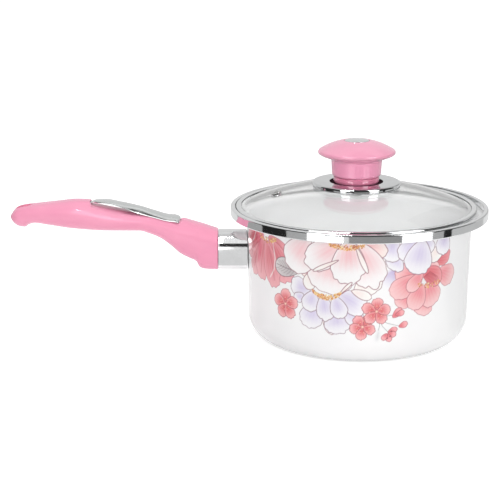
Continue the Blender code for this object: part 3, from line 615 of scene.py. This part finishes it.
def handle_trim_strip():
    """Arched chrome strip with a rolled edge and three raised ribs across its foot."""
    crown, half_w, drop = smooth_curve(STRIP_CROWN), smooth_curve(STRIP_HALF_W), smooth_curve(STRIP_DROP)
    across, count = 20, 120

    def top_at(x, side):
        z = crown(x) - drop(x) * side * side
        for rib_x in RIB_XS:
            off = (x / MM - (rib_x + 1.2 * side * side)) / RIB_HALF_W
            if abs(off) < 1:
                z += RIB_H * (1 - off * off) ** 2 * (1 - side**6)
        return z

    def section(x):
        reach = half_w(x) * (1 - 0.22 * max(0.0, (x / MM + 121.0) / 1.8) ** 2)
        upper, lower = [], []
        for j in range(across + 1):
            side = 2 * j / across - 1
            edge = abs(side) ** 10
            upper.append((x, side * reach, top_at(x, side) - 0.16 * MM * edge))
            lower.append((x, side * reach, crown(x) - drop(x) * side * side - STRIP_T + 0.12 * MM * edge))
        return upper + lower[::-1]
    xs = [STRIP_FAR_X + (STRIP_FOOT_X - STRIP_FAR_X) * i / count for i in range(count + 1)]
    mesh = loft_mesh([section(x) for x in xs], "handle_trim_strip_fine", sharp_deg=55)
    place_object("handle_trim_strip_fine", mesh, STRIP_CHROME, "pan", ("handle_trim_strip",))


# ---- lid ----
def glass_top(r):
    return GLASS_TOP_Z - DOME_H * min(1.0, r / GLASS_CURVE_R) ** 2.3


def glass_slope(r):
    near = 0.1 * MM
    return (glass_top(r + near) - glass_top(r - near)) / (2 * near)


def vent_place():
    """Where the vent sits: on the glass, square to its slope."""
    where = Vector((LID_X + VENT_R * math.cos(VENT_ANGLE), VENT_R * math.sin(VENT_ANGLE), glass_top(VENT_R)))
    return (Matrix.Translation(where) @ Matrix.Rotation(VENT_ANGLE, 4, "Z")
            @ Matrix.Rotation(math.atan(-glass_slope(VENT_R)), 4, "Y"))


def lid_glass():
    edge_r, rim_z = LID_R - 1.1 * MM, glass_top(GLASS_CURVE_R)
    steps = 30
    radii = [GLASS_HOLE_R + (GLASS_CURVE_R - GLASS_HOLE_R) * i / steps for i in range(steps + 1)]
    outer = [(r, glass_top(r)) for r in radii]
    inner = []
    for r in radii[:-1]:
        slope = glass_slope(r)
        along = 1 / math.sqrt(1 + slope * slope)
        inner.append((max(GLASS_HOLE_R, r + GLASS_T * slope * along), glass_top(r) - GLASS_T * along))
    profile = outer + [(GLASS_CURVE_R + 1.2 * MM, rim_z)]
    profile += arc(edge_r - 1.4 * MM, rim_z - 1.5 * MM, 1.4 * MM, 80, -80, 8)
    profile += [(GLASS_CURVE_R - 1 * MM, rim_z - GLASS_T)] + inner[::-1]
    mesh = turned_mesh("lid_glass_fine", profile, segments=FINE_TURN, place=ON_LID, sharp_deg=ROUNDED)
    through = 10 * MM
    hole = turned_mesh("vent_hole", [(0, through), (VENT_HOLE_R, through), (VENT_HOLE_R, -through),
                                     (0, -through)], ring=False, segments=40, place=vent_place())
    place_object("lid_glass_fine", cut_mesh(mesh, [hole]), GLASS, "lid", ("lid_glass",))


def on_lid(node, points, mat, ring=True, segments=160, sharp_deg=42, place=None):
    """A turned piece on the lid, in place of the node; on the lid's axis unless placed."""
    name = node + "_fine"
    mesh = turned_mesh(name, fillets(points), ring, segments, place or ON_LID, sharp_deg)
    place_object(name, mesh, mat, "lid", (node,))


def lid_pieces():
    top, rose, knob = 89.8, ROSE_R / MM, KNOB_R / MM
    on_lid("lid_rim_band",
           [(76.5, top - 0.1, 0.25), (78.4, top), (80.0, top, 1.5), (80.0, 84.8, 0.8), (76.5, 84.8, 0.2),
            (76.5, 85.3, 0.1), (79.5, 85.3, 0.4), (79.5, 89.3, 0.9), (76.5, 89.35, 0.1)],
           LID_STEEL, segments=FINE_TURN)
    on_lid("vent_eyelet",
           [(1.3, 0.9, 0.4), (3.9, 0.9, 0.7), (3.9, 0.4, 0.1), (2.3, 0.4), (2.3, -3.8), (3.9, -3.8, 0.1),
            (3.9, -4.3, 0.6), (1.3, -4.3, 0.3)],
           EYELET_STEEL, segments=64, sharp_deg=ROUNDED, place=vent_place())
    on_lid("knob_rose",
           [(17.75, 105.75, 0.1), (18.1, 105.9, 0.15), (rose, 105.9, 1.3), (rose, 102.75, 0.15),
            (rose - 0.6, 102.75, 0.1), (rose - 0.6, 105.3, 0.8), (17.75, 105.3, 0.1)],
           ROSE_CHROME, sharp_deg=ROUNDED)
    on_lid("knob_collar",
           [(2.85, 109.4), (15.2, 109.4, 0.4), (15.2, 106.3, 0.8), (14.4, 105.0, 0.2), (19.2, 105.0, 0.1),
            (19.3, 104.25, 0.1), (12.6, 104.25), (12.6, 105.4), (2.85, 105.4)],
           DEEP_PINK)
    on_lid("knob_body",
           [(0.0, 132.6), (8.5, 132.6), (8.5, 133.1, 0.1), (8.9, 133.25, 0.25), (13.9, 132.05, 3.5),
            (18.9, 130.2, 3.2), (23.0, 128.05, 2.0), (25.3, 126.7, 0.9), (knob, 125.9, 0.5),
            (25.55, 124.7, 0.6), (24.3, 123.8, 0.8), (21.0, 122.4, 2.2), (17.5, 121.3, 0.8),
            (16.75, 119.9, 0.8), (16.4, 114.0, 2.0), (16.25, 111.0, 0.7), (15.4, 109.7, 0.5), (4.3, 109.7),
            (4.3, 124.0), (0.0, 124.0)],
           PINK, ring=False, sharp_deg=35)
    on_lid("knob_cap_disc",
           [(0.0, 133.8), (4.5, 133.7, 1.5), (7.4, 133.5, 0.6), (8.2, 133.2, 0.3), (8.2, 132.9),
            (0.0, 132.9)],
           DISC_CHROME, ring=False, segments=96)


# ---- flower print ----
# A generic bunch of peonies and blossoms, drawn on the wall unrolled: s is the distance round the
# wall from the front (towards +X) and z the height, both in millimetres.
PRINT_R = 74.3
STEP = 0.32
S_RANGE, Z_RANGE = (-113.0, 71.0), (16.0, 81.6)
LINE, LINE_W = (150, 88, 102), 0.26
# the inner colour, outer colour and outline as display values, then how far the inner colour
# reaches, the strength of the streaks and the width of the pale margin
STYLES = {
    "coral": ((222, 118, 130), (244, 178, 184), (198, 104, 116), 1.05, 0.12, 0.50),
    "salmon": ((240, 148, 155), (251, 206, 207), (196, 112, 122), 1.0, 0.08, 0.50),
    "deep": ((226, 110, 120), (243, 164, 168), (192, 98, 110), 1.2, 0.10, 0.40),
    "white": ((244, 182, 188), (250, 249, 249), LINE, 0.85, 0.06, 0.80),
    "rose": ((243, 184, 190), (251, 249, 249), LINE, 0.98, 0.04, 1.0),
    "blush": ((246, 188, 190), (252, 240, 235), LINE, 1.1, 0.05, 0.60),
    "ivory": ((250, 236, 232), (252, 250, 247), LINE, 0.9, 0.02, 0.60),
    "lilac": ((208, 196, 230), (249, 248, 251), (150, 116, 136), 1.05, 0.04, 1.0),
    "haze": ((204, 188, 226), (248, 247, 251), None, 0.9, 0.0, 0.40),
    "blossom": ((226, 104, 112), (250, 188, 189), (184, 88, 98), 1.0, 0.12, 0.55),
    "bud": ((230, 118, 128), (248, 176, 180), (190, 96, 106), 0.8, 0.05, 0.40),
    "grey": ((190, 182, 184), (218, 212, 212), (116, 94, 100), 1.0, 0.0, 0.40),
    "pale": ((200, 202, 206), (222, 222, 226), None, 1.0, 0.0, 0.40),
}
# a style, then petals in it, from the back to the front: base s and z, tip s and z, width, ruffle
PETALS_BACK = [
    ("haze", (21, 68, 10, 51, 13, 0)),
    ("coral", (-76, 79, -104, 64, 22, 1), (-78, 73, -93, 50, 16, 0.8), (-70, 79, -55, 65, 15, 0.6),
     (-68, 77, -52, 51, 18, 0.8), (-76, 77, -81, 48.5, 17, 0.8), (-73, 76, -64, 45.8, 15, 0.6)),
]
PETALS_RIGHT = [
    ("deep", (45, 68, 61.5, 68.5, 12, 0.5)),
    ("salmon", (50, 60, 66, 52, 14.5, 0.6), (41, 46, 37, 32.5, 15.5, 0.5), (28, 47, 21, 39.5, 11, 0.3),
     (33, 58, 19, 64, 13.5, 0.4), (33, 59, 17, 46, 14.5, 0.5), (42, 54, 48.5, 37.8, 16.5, 0.4),
     (39, 57, 50, 65.5, 11, 0.5)),
    ("deep", (37, 62, 54, 54, 13, 0.2)),
    ("salmon", (38, 53, 31.2, 36.6, 13.5, 0.4), (37.5, 61, 28, 48.8, 9.5, 0.3)),
]
PETALS_LILAC = [
    ("lilac", (21, 73, 15.5, 64.5, 13.5, 0.7), (17, 85, 14, 69.6, 14, 0.6)),
    ("ivory", (45, 75, 51.5, 67.6, 12.5, 0.6)),
    ("lilac", (57, 85, 52, 70.2, 13.5, 0.6), (30, 85, 25, 68.6, 16, 0.8), (38, 83, 43, 72.3, 11, 0.5),
     (37, 82, 32.2, 60, 20.5, 0.8)),
]
PETALS_LOW = [
    ("lilac", (-36, 49, -50.5, 51, 13, 0.8), (-41, 46, -47, 41, 7, 0.3)),
    ("ivory", (-27, 34, -20.5, 21.6, 6.5, 0.3)),
    ("lilac", (-32, 42, -37.5, 24, 16, 0.9), (-19, 38, -17, 22, 17, 0.9), (-12, 42, -4, 29, 12, 0.5),
     (-18, 49.5, 1.0, 38.5, 15, 0.6), (-33, 49, -38.2, 35.4, 12, 0.3), (-27.5, 47, -25, 30, 11.5, 0.8),
     (-20, 47, -15, 32.4, 11, 0.5)),
]
PETALS_CENTRE = [
    ("ivory", (-2, 61, 3.5, 48.3, 19, 0.6), (-9, 51, 3.5, 46.4, 6, 0.4)),
    ("blush", (-33, 69, -40.5, 57.6, 14, 0.5)),
    ("ivory", (-34, 62, -38.5, 49.8, 9, 0.2)),
    ("blush", (-9, 84, 13, 76, 12, 0.3)),
    ("rose", (-5, 82, 6.5, 53.2, 21.5, 1.1), (-21, 73, -25.5, 48.4, 29, 0.5),
     (-37, 83, -51, 61.4, 23, 0.6), (-13, 84, -38.5, 65.2, 19, 0.7)),
    ("white", (-11.4, 84, -10.6, 55, 22, 0.9)),
    ("ivory", (-6.6, 79.5, 0.6, 62.4, 3.4, 0), (-17.5, 70.4, -34, 62.0, 2.8, 0),
     (-16.5, 48.5, -9.0, 56.5, 2.2, 0)),
]


class Painting:
    """Colour and cover on a fine grid of the unrolled wall."""

    def __init__(self):
        self.s = np.arange(S_RANGE[0], S_RANGE[1], STEP)
        self.z = np.linspace(Z_RANGE[0], Z_RANGE[1], int((Z_RANGE[1] - Z_RANGE[0]) / STEP) + 1)
        self.colour = np.ones((len(self.z), len(self.s), 3)) * np.array(linear(249, 249, 249))
        self.cover = np.zeros((len(self.z), len(self.s)))

    def window(self, low, high):
        """The part of the grid in a box, as slices and flat points."""
        i0, i1 = np.searchsorted(self.s, (low[0], high[0]))
        j0, j1 = np.searchsorted(self.z, (low[1], high[1]))
        area = (slice(j0, j1), slice(i0, i1))
        grid_z, grid_s = np.meshgrid(self.z[j0:j1], self.s[i0:i1], indexing="ij")
        return area, np.stack([grid_s.ravel(), grid_z.ravel()], 1)

    def lay(self, area, colour, amount):
        shape = self.cover[area].shape
        amount = amount.reshape(shape)
        self.colour[area] += (colour.reshape(*shape, 3) - self.colour[area]) * amount[..., None]
        self.cover[area] = np.maximum(self.cover[area], amount)

    def shape(self, outline, colour_at, line):
        """Fills a closed outline and strokes its edge; colour_at(points, depth) gives the colours."""
        area, points = self.window(outline.min(0) - 1, outline.max(0) + 1)
        if not len(points):
            return
        depth = signed_depth(points, outline)
        self.lay(area, colour_at(points, depth), np.clip(0.5 + depth / 0.34, 0, 1))
        stroke = np.clip(1.0 - (np.abs(depth) - LINE_W / 2) / 0.24, 0, 1) * 0.9
        self.lay(area, np.tile(line, (len(depth), 1)), stroke)

    def dot(self, s, z, radius, colour):
        area, points = self.window((s - radius - 1, z - radius - 1), (s + radius + 1, z + radius + 1))
        if len(points):
            away = np.hypot(points[:, 0] - s, points[:, 1] - z)
            self.lay(area, np.tile(colour, (len(points), 1)), np.clip(0.5 + (radius - away) / 0.3, 0, 1))

    def curve(self, path, width, colour, strength=0.9):
        path = np.array(path, float)
        area, points = self.window(path.min(0) - 1.5, path.max(0) + 1.5)
        if len(points):
            away = np.min([segment_distance(points, a, b) for a, b in zip(path, path[1:])], axis=0)
            amount = np.clip(0.5 + (width / 2 - away) / 0.3, 0, 1) * strength
            self.lay(area, np.tile(colour, (len(points), 1)), amount)


def segment_distance(points, a, b):
    along = b - a
    t = np.clip(((points - a) @ along) / max(float(along @ along), 1e-9), 0, 1)
    return np.hypot(*(points - (a + t[:, None] * along)).T)


def signed_depth(points, outline):
    """Distance to the outline, positive inside it."""
    nearest = np.full(len(points), 1e9)
    inside = np.zeros(len(points), bool)
    x, y = points.T
    for a, b in zip(outline, np.roll(outline, -1, 0)):
        nearest = np.minimum(nearest, segment_distance(points, a, b))
        crosses = (a[1] > y) != (b[1] > y)
        if abs(b[1] - a[1]) > 1e-12:
            inside ^= crosses & (x < (b[0] - a[0]) * (y - a[1]) / (b[1] - a[1]) + a[0])
    return np.where(inside, nearest, -nearest)


def petal_axes(base, tip):
    axis = tip - base
    length = float(np.hypot(*axis))
    return length, axis / length, np.array([-axis[1], axis[0]]) / length


def petal_outline(base, tip, width, ruffle, rng):
    """A petal from its narrow base to its broad, more or less ruffled tip."""
    count = 110
    length, along, across = petal_axes(base, tip)
    phase, lean = rng.uniform(0, 6.28), rng.uniform(-0.09, 0.09)
    notches = [rng.uniform(-0.9, -0.2), rng.uniform(0.1, 0.9)]
    made = []
    for i in range(count):
        t = 2 * math.pi * i / count
        u = 0.5 - 0.5 * math.cos(t)
        narrow = 0.42 + 0.58 * min(1.0, u * 1.55) ** 0.8
        v = math.sin(t) * narrow * (1.07 if width > 5 else 1.0)
        v = math.copysign(abs(v) ** 0.86, v)
        tip_share = max(0.0, (u - 0.45) / 0.55)
        wave = math.sin(7 * t + phase) * 0.5 + math.sin(13 * t + 2.3 * phase) * 0.4
        wave -= sum(1.2 * math.exp(-((t - math.pi - notch) / 0.11) ** 2) for notch in notches)
        out = 1 + ruffle * 0.075 * wave * tip_share
        point = base + along * (0.5 + (u - 0.5) * out) * length
        made.append(point + across * (v * out * width / 2 + lean * width * u * u))
    return np.array(made)


def petal(painting, rng, style, s0, z0, s1, z1, width, ruffle):
    inner, outer, line, reach, streaks, margin = STYLES[style]
    inner, outer = np.array(linear(*inner)), np.array(linear(*outer))
    base, tip = np.array((s0, z0), float), np.array((s1, z1), float)
    length, along, across = petal_axes(base, tip)
    phase = rng.uniform(0, 6.28)

    def colour_at(points, depth):
        u = ((points - base) @ along) / length
        v = ((points - base) @ across) / (width / 2)
        fade = np.clip((reach - u) / max(reach * 0.75, 0.2), 0, 1)
        edge = np.clip(depth / (margin * width / 2), 0, 1) ** 0.8
        amount = fade * fade * (3 - 2 * fade) * (0.12 + 0.88 * edge if margin > 0.5 else 0.35 + 0.65 * edge)
        fan = v / (0.35 + 0.65 * np.clip(u, 0, 1))
        lines = np.sin(fan * 15 + phase) * streaks
        lines += np.sin(fan * 37 + 2 * phase) * streaks * 0.6
        amount = np.clip(amount * (1 + lines) + lines * 0.35 * (amount > 0.05), 0, 1)
        return outer + (inner - outer) * amount[:, None]
    outline = petal_outline(base, tip, width, ruffle, rng)
    if line is None:
        area, points = painting.window(outline.min(0) - 3, outline.max(0) + 3)
        depth = signed_depth(points, outline)
        painting.lay(area, colour_at(points, depth), np.clip((depth + 0.5) / 4.0, 0, 1))
    else:
        painting.shape(outline, colour_at, line and linear(*line))


def stamens(painting, rng, s, z, half_w, sag, count, filaments=0):
    """A cluster of small golden dots on a curved line, with fine filaments leading to it."""
    golds = [linear(238, 186, 104), linear(224, 150, 88), linear(196, 112, 72), linear(248, 222, 164)]
    for i in range(filaments):
        t = -1 + 2 * (i + 0.5) / filaments
        top = (s + t * half_w * 0.35, z + 7.5 - 2 * abs(t))
        end = (s + t * half_w * 0.95, z - sag * (1 - t * t) + rng.uniform(-0.6, 0.8))
        mid = ((top[0] + end[0]) / 2 + t * 0.8, (top[1] + end[1]) / 2 + 0.4)
        painting.curve([top, mid, end], 0.32, linear(176, 62, 76), 0.75)
    for _ in range(count):
        t = rng.uniform(-1, 1)
        across = rng.uniform(-1, 1) * (1.9 - 0.9 * abs(t))
        place = (s + t * half_w, z - sag * (1 - t * t) + across)
        painting.dot(*place, rng.uniform(0.28, 0.55), rng.choice(golds))


def petals(painting, rng, table):
    for style, *rows in table:
        for row in rows:
            petal(painting, rng, style, *row)


def leaf(painting, rng, s0, z0, s1, z1, width):
    petal(painting, rng, "grey", s0, z0, s1, z1, width, 0.0)
    base, tip = np.array((s0, z0), float), np.array((s1, z1), float)
    along = (tip - base)
    across = np.array([-along[1], along[0]]) / np.hypot(*along)
    dark = linear(112, 92, 98)
    painting.curve([base, base + along * 0.5 + across * 0.4, base + along * 0.93], 0.42, dark)
    for i in range(6):
        start = base + along * (0.16 + 0.11 * i)
        for side in (-1, 1):
            end = base + along * min(0.95, 0.34 + 0.125 * i) + across * side * width * (0.40 - 0.035 * i)
            painting.curve([start, (start + end) / 2 + across * side * 0.5, end], 0.26, dark, 0.8)


def blossom(painting, rng, s, z, radius, turn):
    """A five-petalled blossom with a dark middle and fine stamens."""
    for i in range(5):
        a = math.radians(turn + 72 * i + rng.uniform(-5, 5))
        reach = radius * rng.uniform(0.95, 1.06)
        petal(painting, rng, "blossom", s + 0.4 * math.cos(a), z + 0.4 * math.sin(a),
              s + reach * math.cos(a), z + reach * math.sin(a), radius * 0.80, 0.9)
    for i in range(11):
        a = math.radians(turn + 33 * i)
        reach = radius * rng.uniform(0.34, 0.5)
        end = (s + reach * math.cos(a), z + reach * math.sin(a))
        painting.curve([(s, z), end], 0.26, linear(196, 60, 66), 0.7)
        painting.dot(*end, 0.3, linear(250, 205, 170))
    painting.dot(s, z, 0.75, linear(250, 210, 190))


def paint_flowers():
    painting = Painting()
    rng = random.Random(7)
    petals(painting, rng, PETALS_BACK)
    stamens(painting, rng, -72, 78.0, 9, 2.0, 90)
    for path in ([(-86, 80), (-90, 73), (-96, 69), (-102, 68)],
                 [(-66, 75), (-64, 66), (-65, 58), (-69, 52)]):
        painting.curve(path, 0.8, linear(252, 236, 236), 0.85)
    for path in ([(-80, 74), (-86, 63), (-90, 55)], [(-76, 72), (-79, 61), (-80, 53)],
                 [(-70, 72), (-67, 62), (-65, 51)], [(-66, 74), (-60, 63), (-56, 55)],
                 [(-84, 76), (-92, 68), (-99, 63)]):
        painting.curve(path, 1.5, linear(200, 92, 106), 0.35)
    leaf(painting, rng, -44.5, 60, -63.5, 62.5, 12.5)
    petals(painting, rng, PETALS_RIGHT)
    stamens(painting, rng, 43.5, 53, 9, 1.5, 46, filaments=17)
    petals(painting, rng, PETALS_LILAC + PETALS_LOW + PETALS_CENTRE)
    stamens(painting, rng, -12.5, 80.2, 11, 1.6, 170)
    stamens(painting, rng, -25, 49.0, 9.4, 3.4, 230)
    stem = linear(150, 150, 150)
    for path in ([(8.5, 33), (13, 34.2), (18.5, 34.6)], [(8.5, 33), (14, 29.4), (22, 27.0)],
                 [(8.5, 32), (11, 27.5), (14.6, 23.6)], [(8.5, 32), (9.2, 28), (8.4, 25)]):
        painting.curve(path, 0.55, stem, 0.9)
    petal(painting, rng, "pale", 8.9, 27.0, 7.4, 16.5, 5.6, 0)
    petal(painting, rng, "pale", 12.5, 36.5, 17.5, 41.5, 3.4, 0)
    for row in ((17.5, 33, 23.6, 38.2, 5.2), (19.5, 34.6, 25.4, 36.0, 4.2), (21.8, 26.6, 28, 28.2, 4.4),
                (14.6, 23.2, 20.8, 25.6, 4.2), (14.8, 22.8, 20.0, 21.0, 4.4), (14.4, 22.4, 15.8, 17.0, 4.4),
                (14.2, 22.6, 11.0, 18.4, 3.8)):
        petal(painting, rng, "bud", *row, 0.5)
    for s, z in ((17.0, 23.8), (16.2, 20.6), (14.4, 19.4)):
        painting.dot(s, z, 0.5, linear(150, 70, 84))
    blossom(painting, rng, -55, 37.0, 10.2, 92)
    blossom(painting, rng, -1.8, 27.3, 8.6, 50)
    blossom(painting, rng, 7.0, 37.4, 9.2, 88)
    return painting


def flower_print():
    """The fired print: one thin layer on the wall, only where it has colour."""
    painting = paint_flowers()
    shape = painting.cover.shape
    stands_off = 0.05 * MM
    radii = np.array([wall_r(z * MM) + stands_off for z in painting.z])
    angle = painting.s / PRINT_R
    points = np.zeros((*shape, 3))
    points[..., 0] = radii[:, None] * np.sin(angle)[None]
    points[..., 1] = -radii[:, None] * np.cos(angle)[None]
    points[..., 2] = painting.z[:, None] * MM
    held = painting.cover > 0.004
    cells = held[:-1, :-1] | held[1:, :-1] | held[:-1, 1:] | held[1:, 1:]
    rows, cols = np.nonzero(cells)
    index = np.arange(shape[0] * shape[1]).reshape(shape)
    corners = ((0, 0), (0, 1), (1, 1), (1, 0))
    quads = np.stack([index[rows + down, cols + along] for down, along in corners], 1)
    used, flat = np.unique(quads, return_inverse=True)
    mesh = bpy.data.meshes.new("flower_print")
    mesh.from_pydata(points.reshape(-1, 3)[used], [], flat.reshape(-1, 4).tolist())
    paint = mesh.color_attributes.new("print_colour", "FLOAT_COLOR", "POINT")
    values = np.concatenate([painting.colour.reshape(-1, 3), painting.cover.reshape(-1, 1)], 1)[used]
    paint.data.foreach_set("color", values.astype(np.float32).ravel())
    mesh.shade_smooth()
    place_object("flower_print", mesh, PRINTED, "pan")


# ---- CAD nodes that stay as they are ----
def keep_nodes():
    looks = {"handle_bracket": BRACKET, "knob_insert": BRASS, "gasket_upper": SILICONE,
             "gasket_lower": SILICONE}
    for name in ("strip_stud", "handle_screw", "handle_screw_washer", "tang_nut", "knob_screw_washer",
                 "knob_screw"):
        looks[name] = ZINC
    for name, mat in looks.items():
        node = frame["nodes"][name]
        for slot in node.material_slots:
            slot.material = mat


# ---- studio ----
# edges of the studio's panels, as degrees round from the front and how bright each one is from there
LEFT_WINDOW, RIGHT_WINDOW, WINDOW_END = -44.6, 28.7, 54
LEFT_SIDE = [(-180, 0.07), (-158, 0.165), (-128, 0.08), (-88, 0.004), (-62, 0.09)]
RIGHT_SIDE = [(WINDOW_END, 0.09), (65, 0.004), (74, 0.115), (124, 0.165), (150, 0.07)]
# the height from which each row of panels stands, in metres
PANEL_ROWS = [
    (0.0005, [*LEFT_SIDE, (LEFT_WINDOW, 0.45), (-16.5, 0.158), (-12, 0.064), (RIGHT_WINDOW, 0.45),
              *RIGHT_SIDE]),
    (0.037, [*LEFT_SIDE, (LEFT_WINDOW, 0.25), (-30, 0.004), (-10, 0.064), (RIGHT_WINDOW, 0.25), *RIGHT_SIDE]),
    (0.060, [(-180, 0.15), (-105, 0.008), (LEFT_WINDOW, 0.25), (-30, 0.008), (RIGHT_WINDOW, 0.25),
             (WINDOW_END, 0.008), (105, 0.15)]),
    (0.118, [(-180, 0.15), (-105, 0.012), (LEFT_WINDOW, 1.0), (-22, 0.19), (-10, 0.012), (RIGHT_WINDOW, 1.0),
             (WINDOW_END, 0.012), (105, 0.15), (118, 0.09), (150, 0.15)]),
]
PANELS_R, PANELS_TOP = 0.34, 0.50


def grey_ramp(tree, stops, constant=False):
    ramp = tree.nodes.new("ShaderNodeValToRGB")
    if constant:
        ramp.color_ramp.interpolation = "CONSTANT"
    for i, (place, value) in enumerate(stops):
        stop = ramp.color_ramp.elements[i] if i < 2 else ramp.color_ramp.elements.new(place)
        stop.position = place
        stop.color = (value, value, value, 1)
    return ramp


def stage_object(name, mesh, mat, only_reflected=False):
    obj = bpy.data.objects.new(name, mesh)
    mesh.materials.append(mat)
    bpy.context.scene.collection.objects.link(obj)
    if only_reflected:
        obj.visible_camera = obj.visible_diffuse = obj.visible_shadow = obj.visible_transmission = False


def studio_ring():
    """Panels that stand round the table and show only in reflections."""
    mesh = turned_mesh("studio_panels", [(PANELS_R, PANEL_ROWS[0][0]), (PANELS_R, PANELS_TOP)], ring=False,
                       segments=96)
    n = Nodes("studio_panels")
    colour = n.glow(5.0)
    x, y, z = n.split(n.coords)
    turn = n.math("ARCTAN2", x, n.math("MULTIPLY", y, -1.0))
    share = n.math("ADD", n.math("DIVIDE", turn, 2 * math.pi), 0.5)
    shown = None
    for start, panels in PANEL_ROWS:
        ramp = grey_ramp(n.tree, [((deg + 180) / 360, bright) for deg, bright in panels], constant=True)
        n.link(share, ramp.inputs[0])
        if shown is None:
            shown = ramp.outputs[0]
        else:
            shown = n.mix(n.spread(z, 0, 1, start - 0.001, start + 0.001), shown, ramp.outputs[0])
    n.link(shown, colour)
    stage_object("studio_panels", mesh, n.mat, only_reflected=True)


def card(name, low, high, strength, z=0.0004):
    """A level card of even brightness, seen only in reflections."""
    mesh = bpy.data.meshes.new(name)
    corners = [(low[0], low[1], z), (high[0], low[1], z), (high[0], high[1], z), (low[0], high[1], z)]
    mesh.from_pydata(corners, [], [(0, 1, 2, 3)])
    n = Nodes(name)
    n.glow(strength).default_value = (1, 1, 1, 1)
    stage_object(name, mesh, n.mat, only_reflected=True)


def floor():
    """A plain pale floor, a little brighter to the camera than its light makes it."""
    to_camera, to_mirrors = 0.50, 0.36
    bm = bmesh.new()
    bmesh.ops.create_circle(bm, cap_ends=True, segments=96, radius=9.0)
    mesh = bpy.data.meshes.new("floor")
    bm.to_mesh(mesh)
    bm.free()
    n = Nodes("pale_floor")
    n.feed("Base Color", n.mix(n.spread(n.noise(3, 2), 0, 1), (0.93, 0.93, 0.93), (0.95, 0.95, 0.95)))
    n.set(Roughness=0.9, Specular_IOR_Level=0.1, Emission_Color=(1, 1, 1, 1))
    path = n.node("LightPath").outputs
    seen = n.math("MULTIPLY", path["Is Camera Ray"], to_camera)
    mirrored = n.math("MULTIPLY", path["Is Glossy Ray"], to_mirrors)
    n.feed("Emission Strength", n.math("MAXIMUM", seen, mirrored))
    stage_object("floor", mesh, n.mat)


def world():
    """White to the camera, softer as light, and graded by height in reflections."""
    made = bpy.data.worlds.new("studio")
    bpy.context.scene.world = made
    made.use_nodes = True
    nodes, link = made.node_tree.nodes, made.node_tree.links.new
    nodes.clear()

    def background(grey):
        node = nodes.new("ShaderNodeBackground")
        node.inputs["Color"].default_value = (grey, grey, grey, 1)
        return node
    plain, soft, shiny = background(1.0), background(0.56), background(1.0)
    parts = nodes.new("ShaderNodeSeparateXYZ")
    link(nodes.new("ShaderNodeTexCoord").outputs["Generated"], parts.inputs[0])
    ramp = grey_ramp(made.node_tree, [(0.0, 0.35), (0.5, 0.6), (0.8, 0.95), (0.97, 0.7)])
    link(parts.outputs[2], ramp.inputs[0])
    link(ramp.outputs[0], shiny.inputs["Color"])
    path = nodes.new("ShaderNodeLightPath")
    shown = plain
    for ray, seen in (("Is Diffuse Ray", soft), ("Is Glossy Ray", shiny)):
        pick = nodes.new("ShaderNodeMixShader")
        for socket, source in zip(pick.inputs, (path.outputs[ray], shown.outputs[0], seen.outputs[0])):
            link(source, socket)
        shown = pick
    link(shown.outputs[0], nodes.new("ShaderNodeOutputWorld").inputs["Surface"])


def area_light(name, place, aim, size_x, size_y, power):
    light = bpy.data.lights.new(name, "AREA")
    light.shape, light.size, light.size_y, light.energy = "RECTANGLE", size_x, size_y, power
    obj = bpy.data.objects.new(name, light)
    obj.location = place
    obj.rotation_euler = (Vector(aim) - Vector(place)).to_track_quat("-Z", "Y").to_euler()
    bpy.context.scene.collection.objects.link(obj)
    obj.visible_camera = obj.visible_glossy = False     # reflections show the panels and cards only


def camera():
    cam = bpy.data.cameras.new("camera")
    cam.lens, cam.sensor_width = 110.74, 36.0
    cam.clip_start, cam.clip_end = 0.05, 60.0
    obj = bpy.data.objects.new("camera", cam)
    obj.location = (-0.07258, -1.0, 0.3140)
    obj.rotation_euler = (math.radians(90 - 14.332), 0, 0)
    bpy.context.scene.collection.objects.link(obj)
    bpy.context.scene.camera = obj


def studio():
    scene = bpy.context.scene
    scene.view_settings.view_transform = "Standard"
    scene.view_settings.look = "None"
    camera()
    world()
    floor()
    studio_ring()
    card("card_before_handle", (-0.22, -0.338), (-0.03, -0.03), 0.78)
    card("card_beside_pan", (0.085, -0.03), (0.33, 0.33), 0.86)
    card("card_overhead", (-0.05, -0.34), (0.30, 0.15), 0.06, z=0.5)
    card("card_over_handle", (-0.42, -0.52), (-0.10, -0.47), 45.0, z=0.9)
    area_light("key", (0.12, -1.35, 0.55), (0, 0, 0.06), 0.8, 0.5, 5.6)
    area_light("overhead", (-0.03, -0.1, 1.25), (-0.03, 0, 0), 0.6, 0.5, 3.4)
    area_light("strip", (-0.22, -0.50, 0.95), (-0.19, 0, 0.09), 0.45, 0.045, 0.6)


pot_body()
pot_rim_band()
ferrule()
handle_grip()
handle_trim_strip()
lid_glass()
lid_pieces()
flower_print()
keep_nodes()
studio()
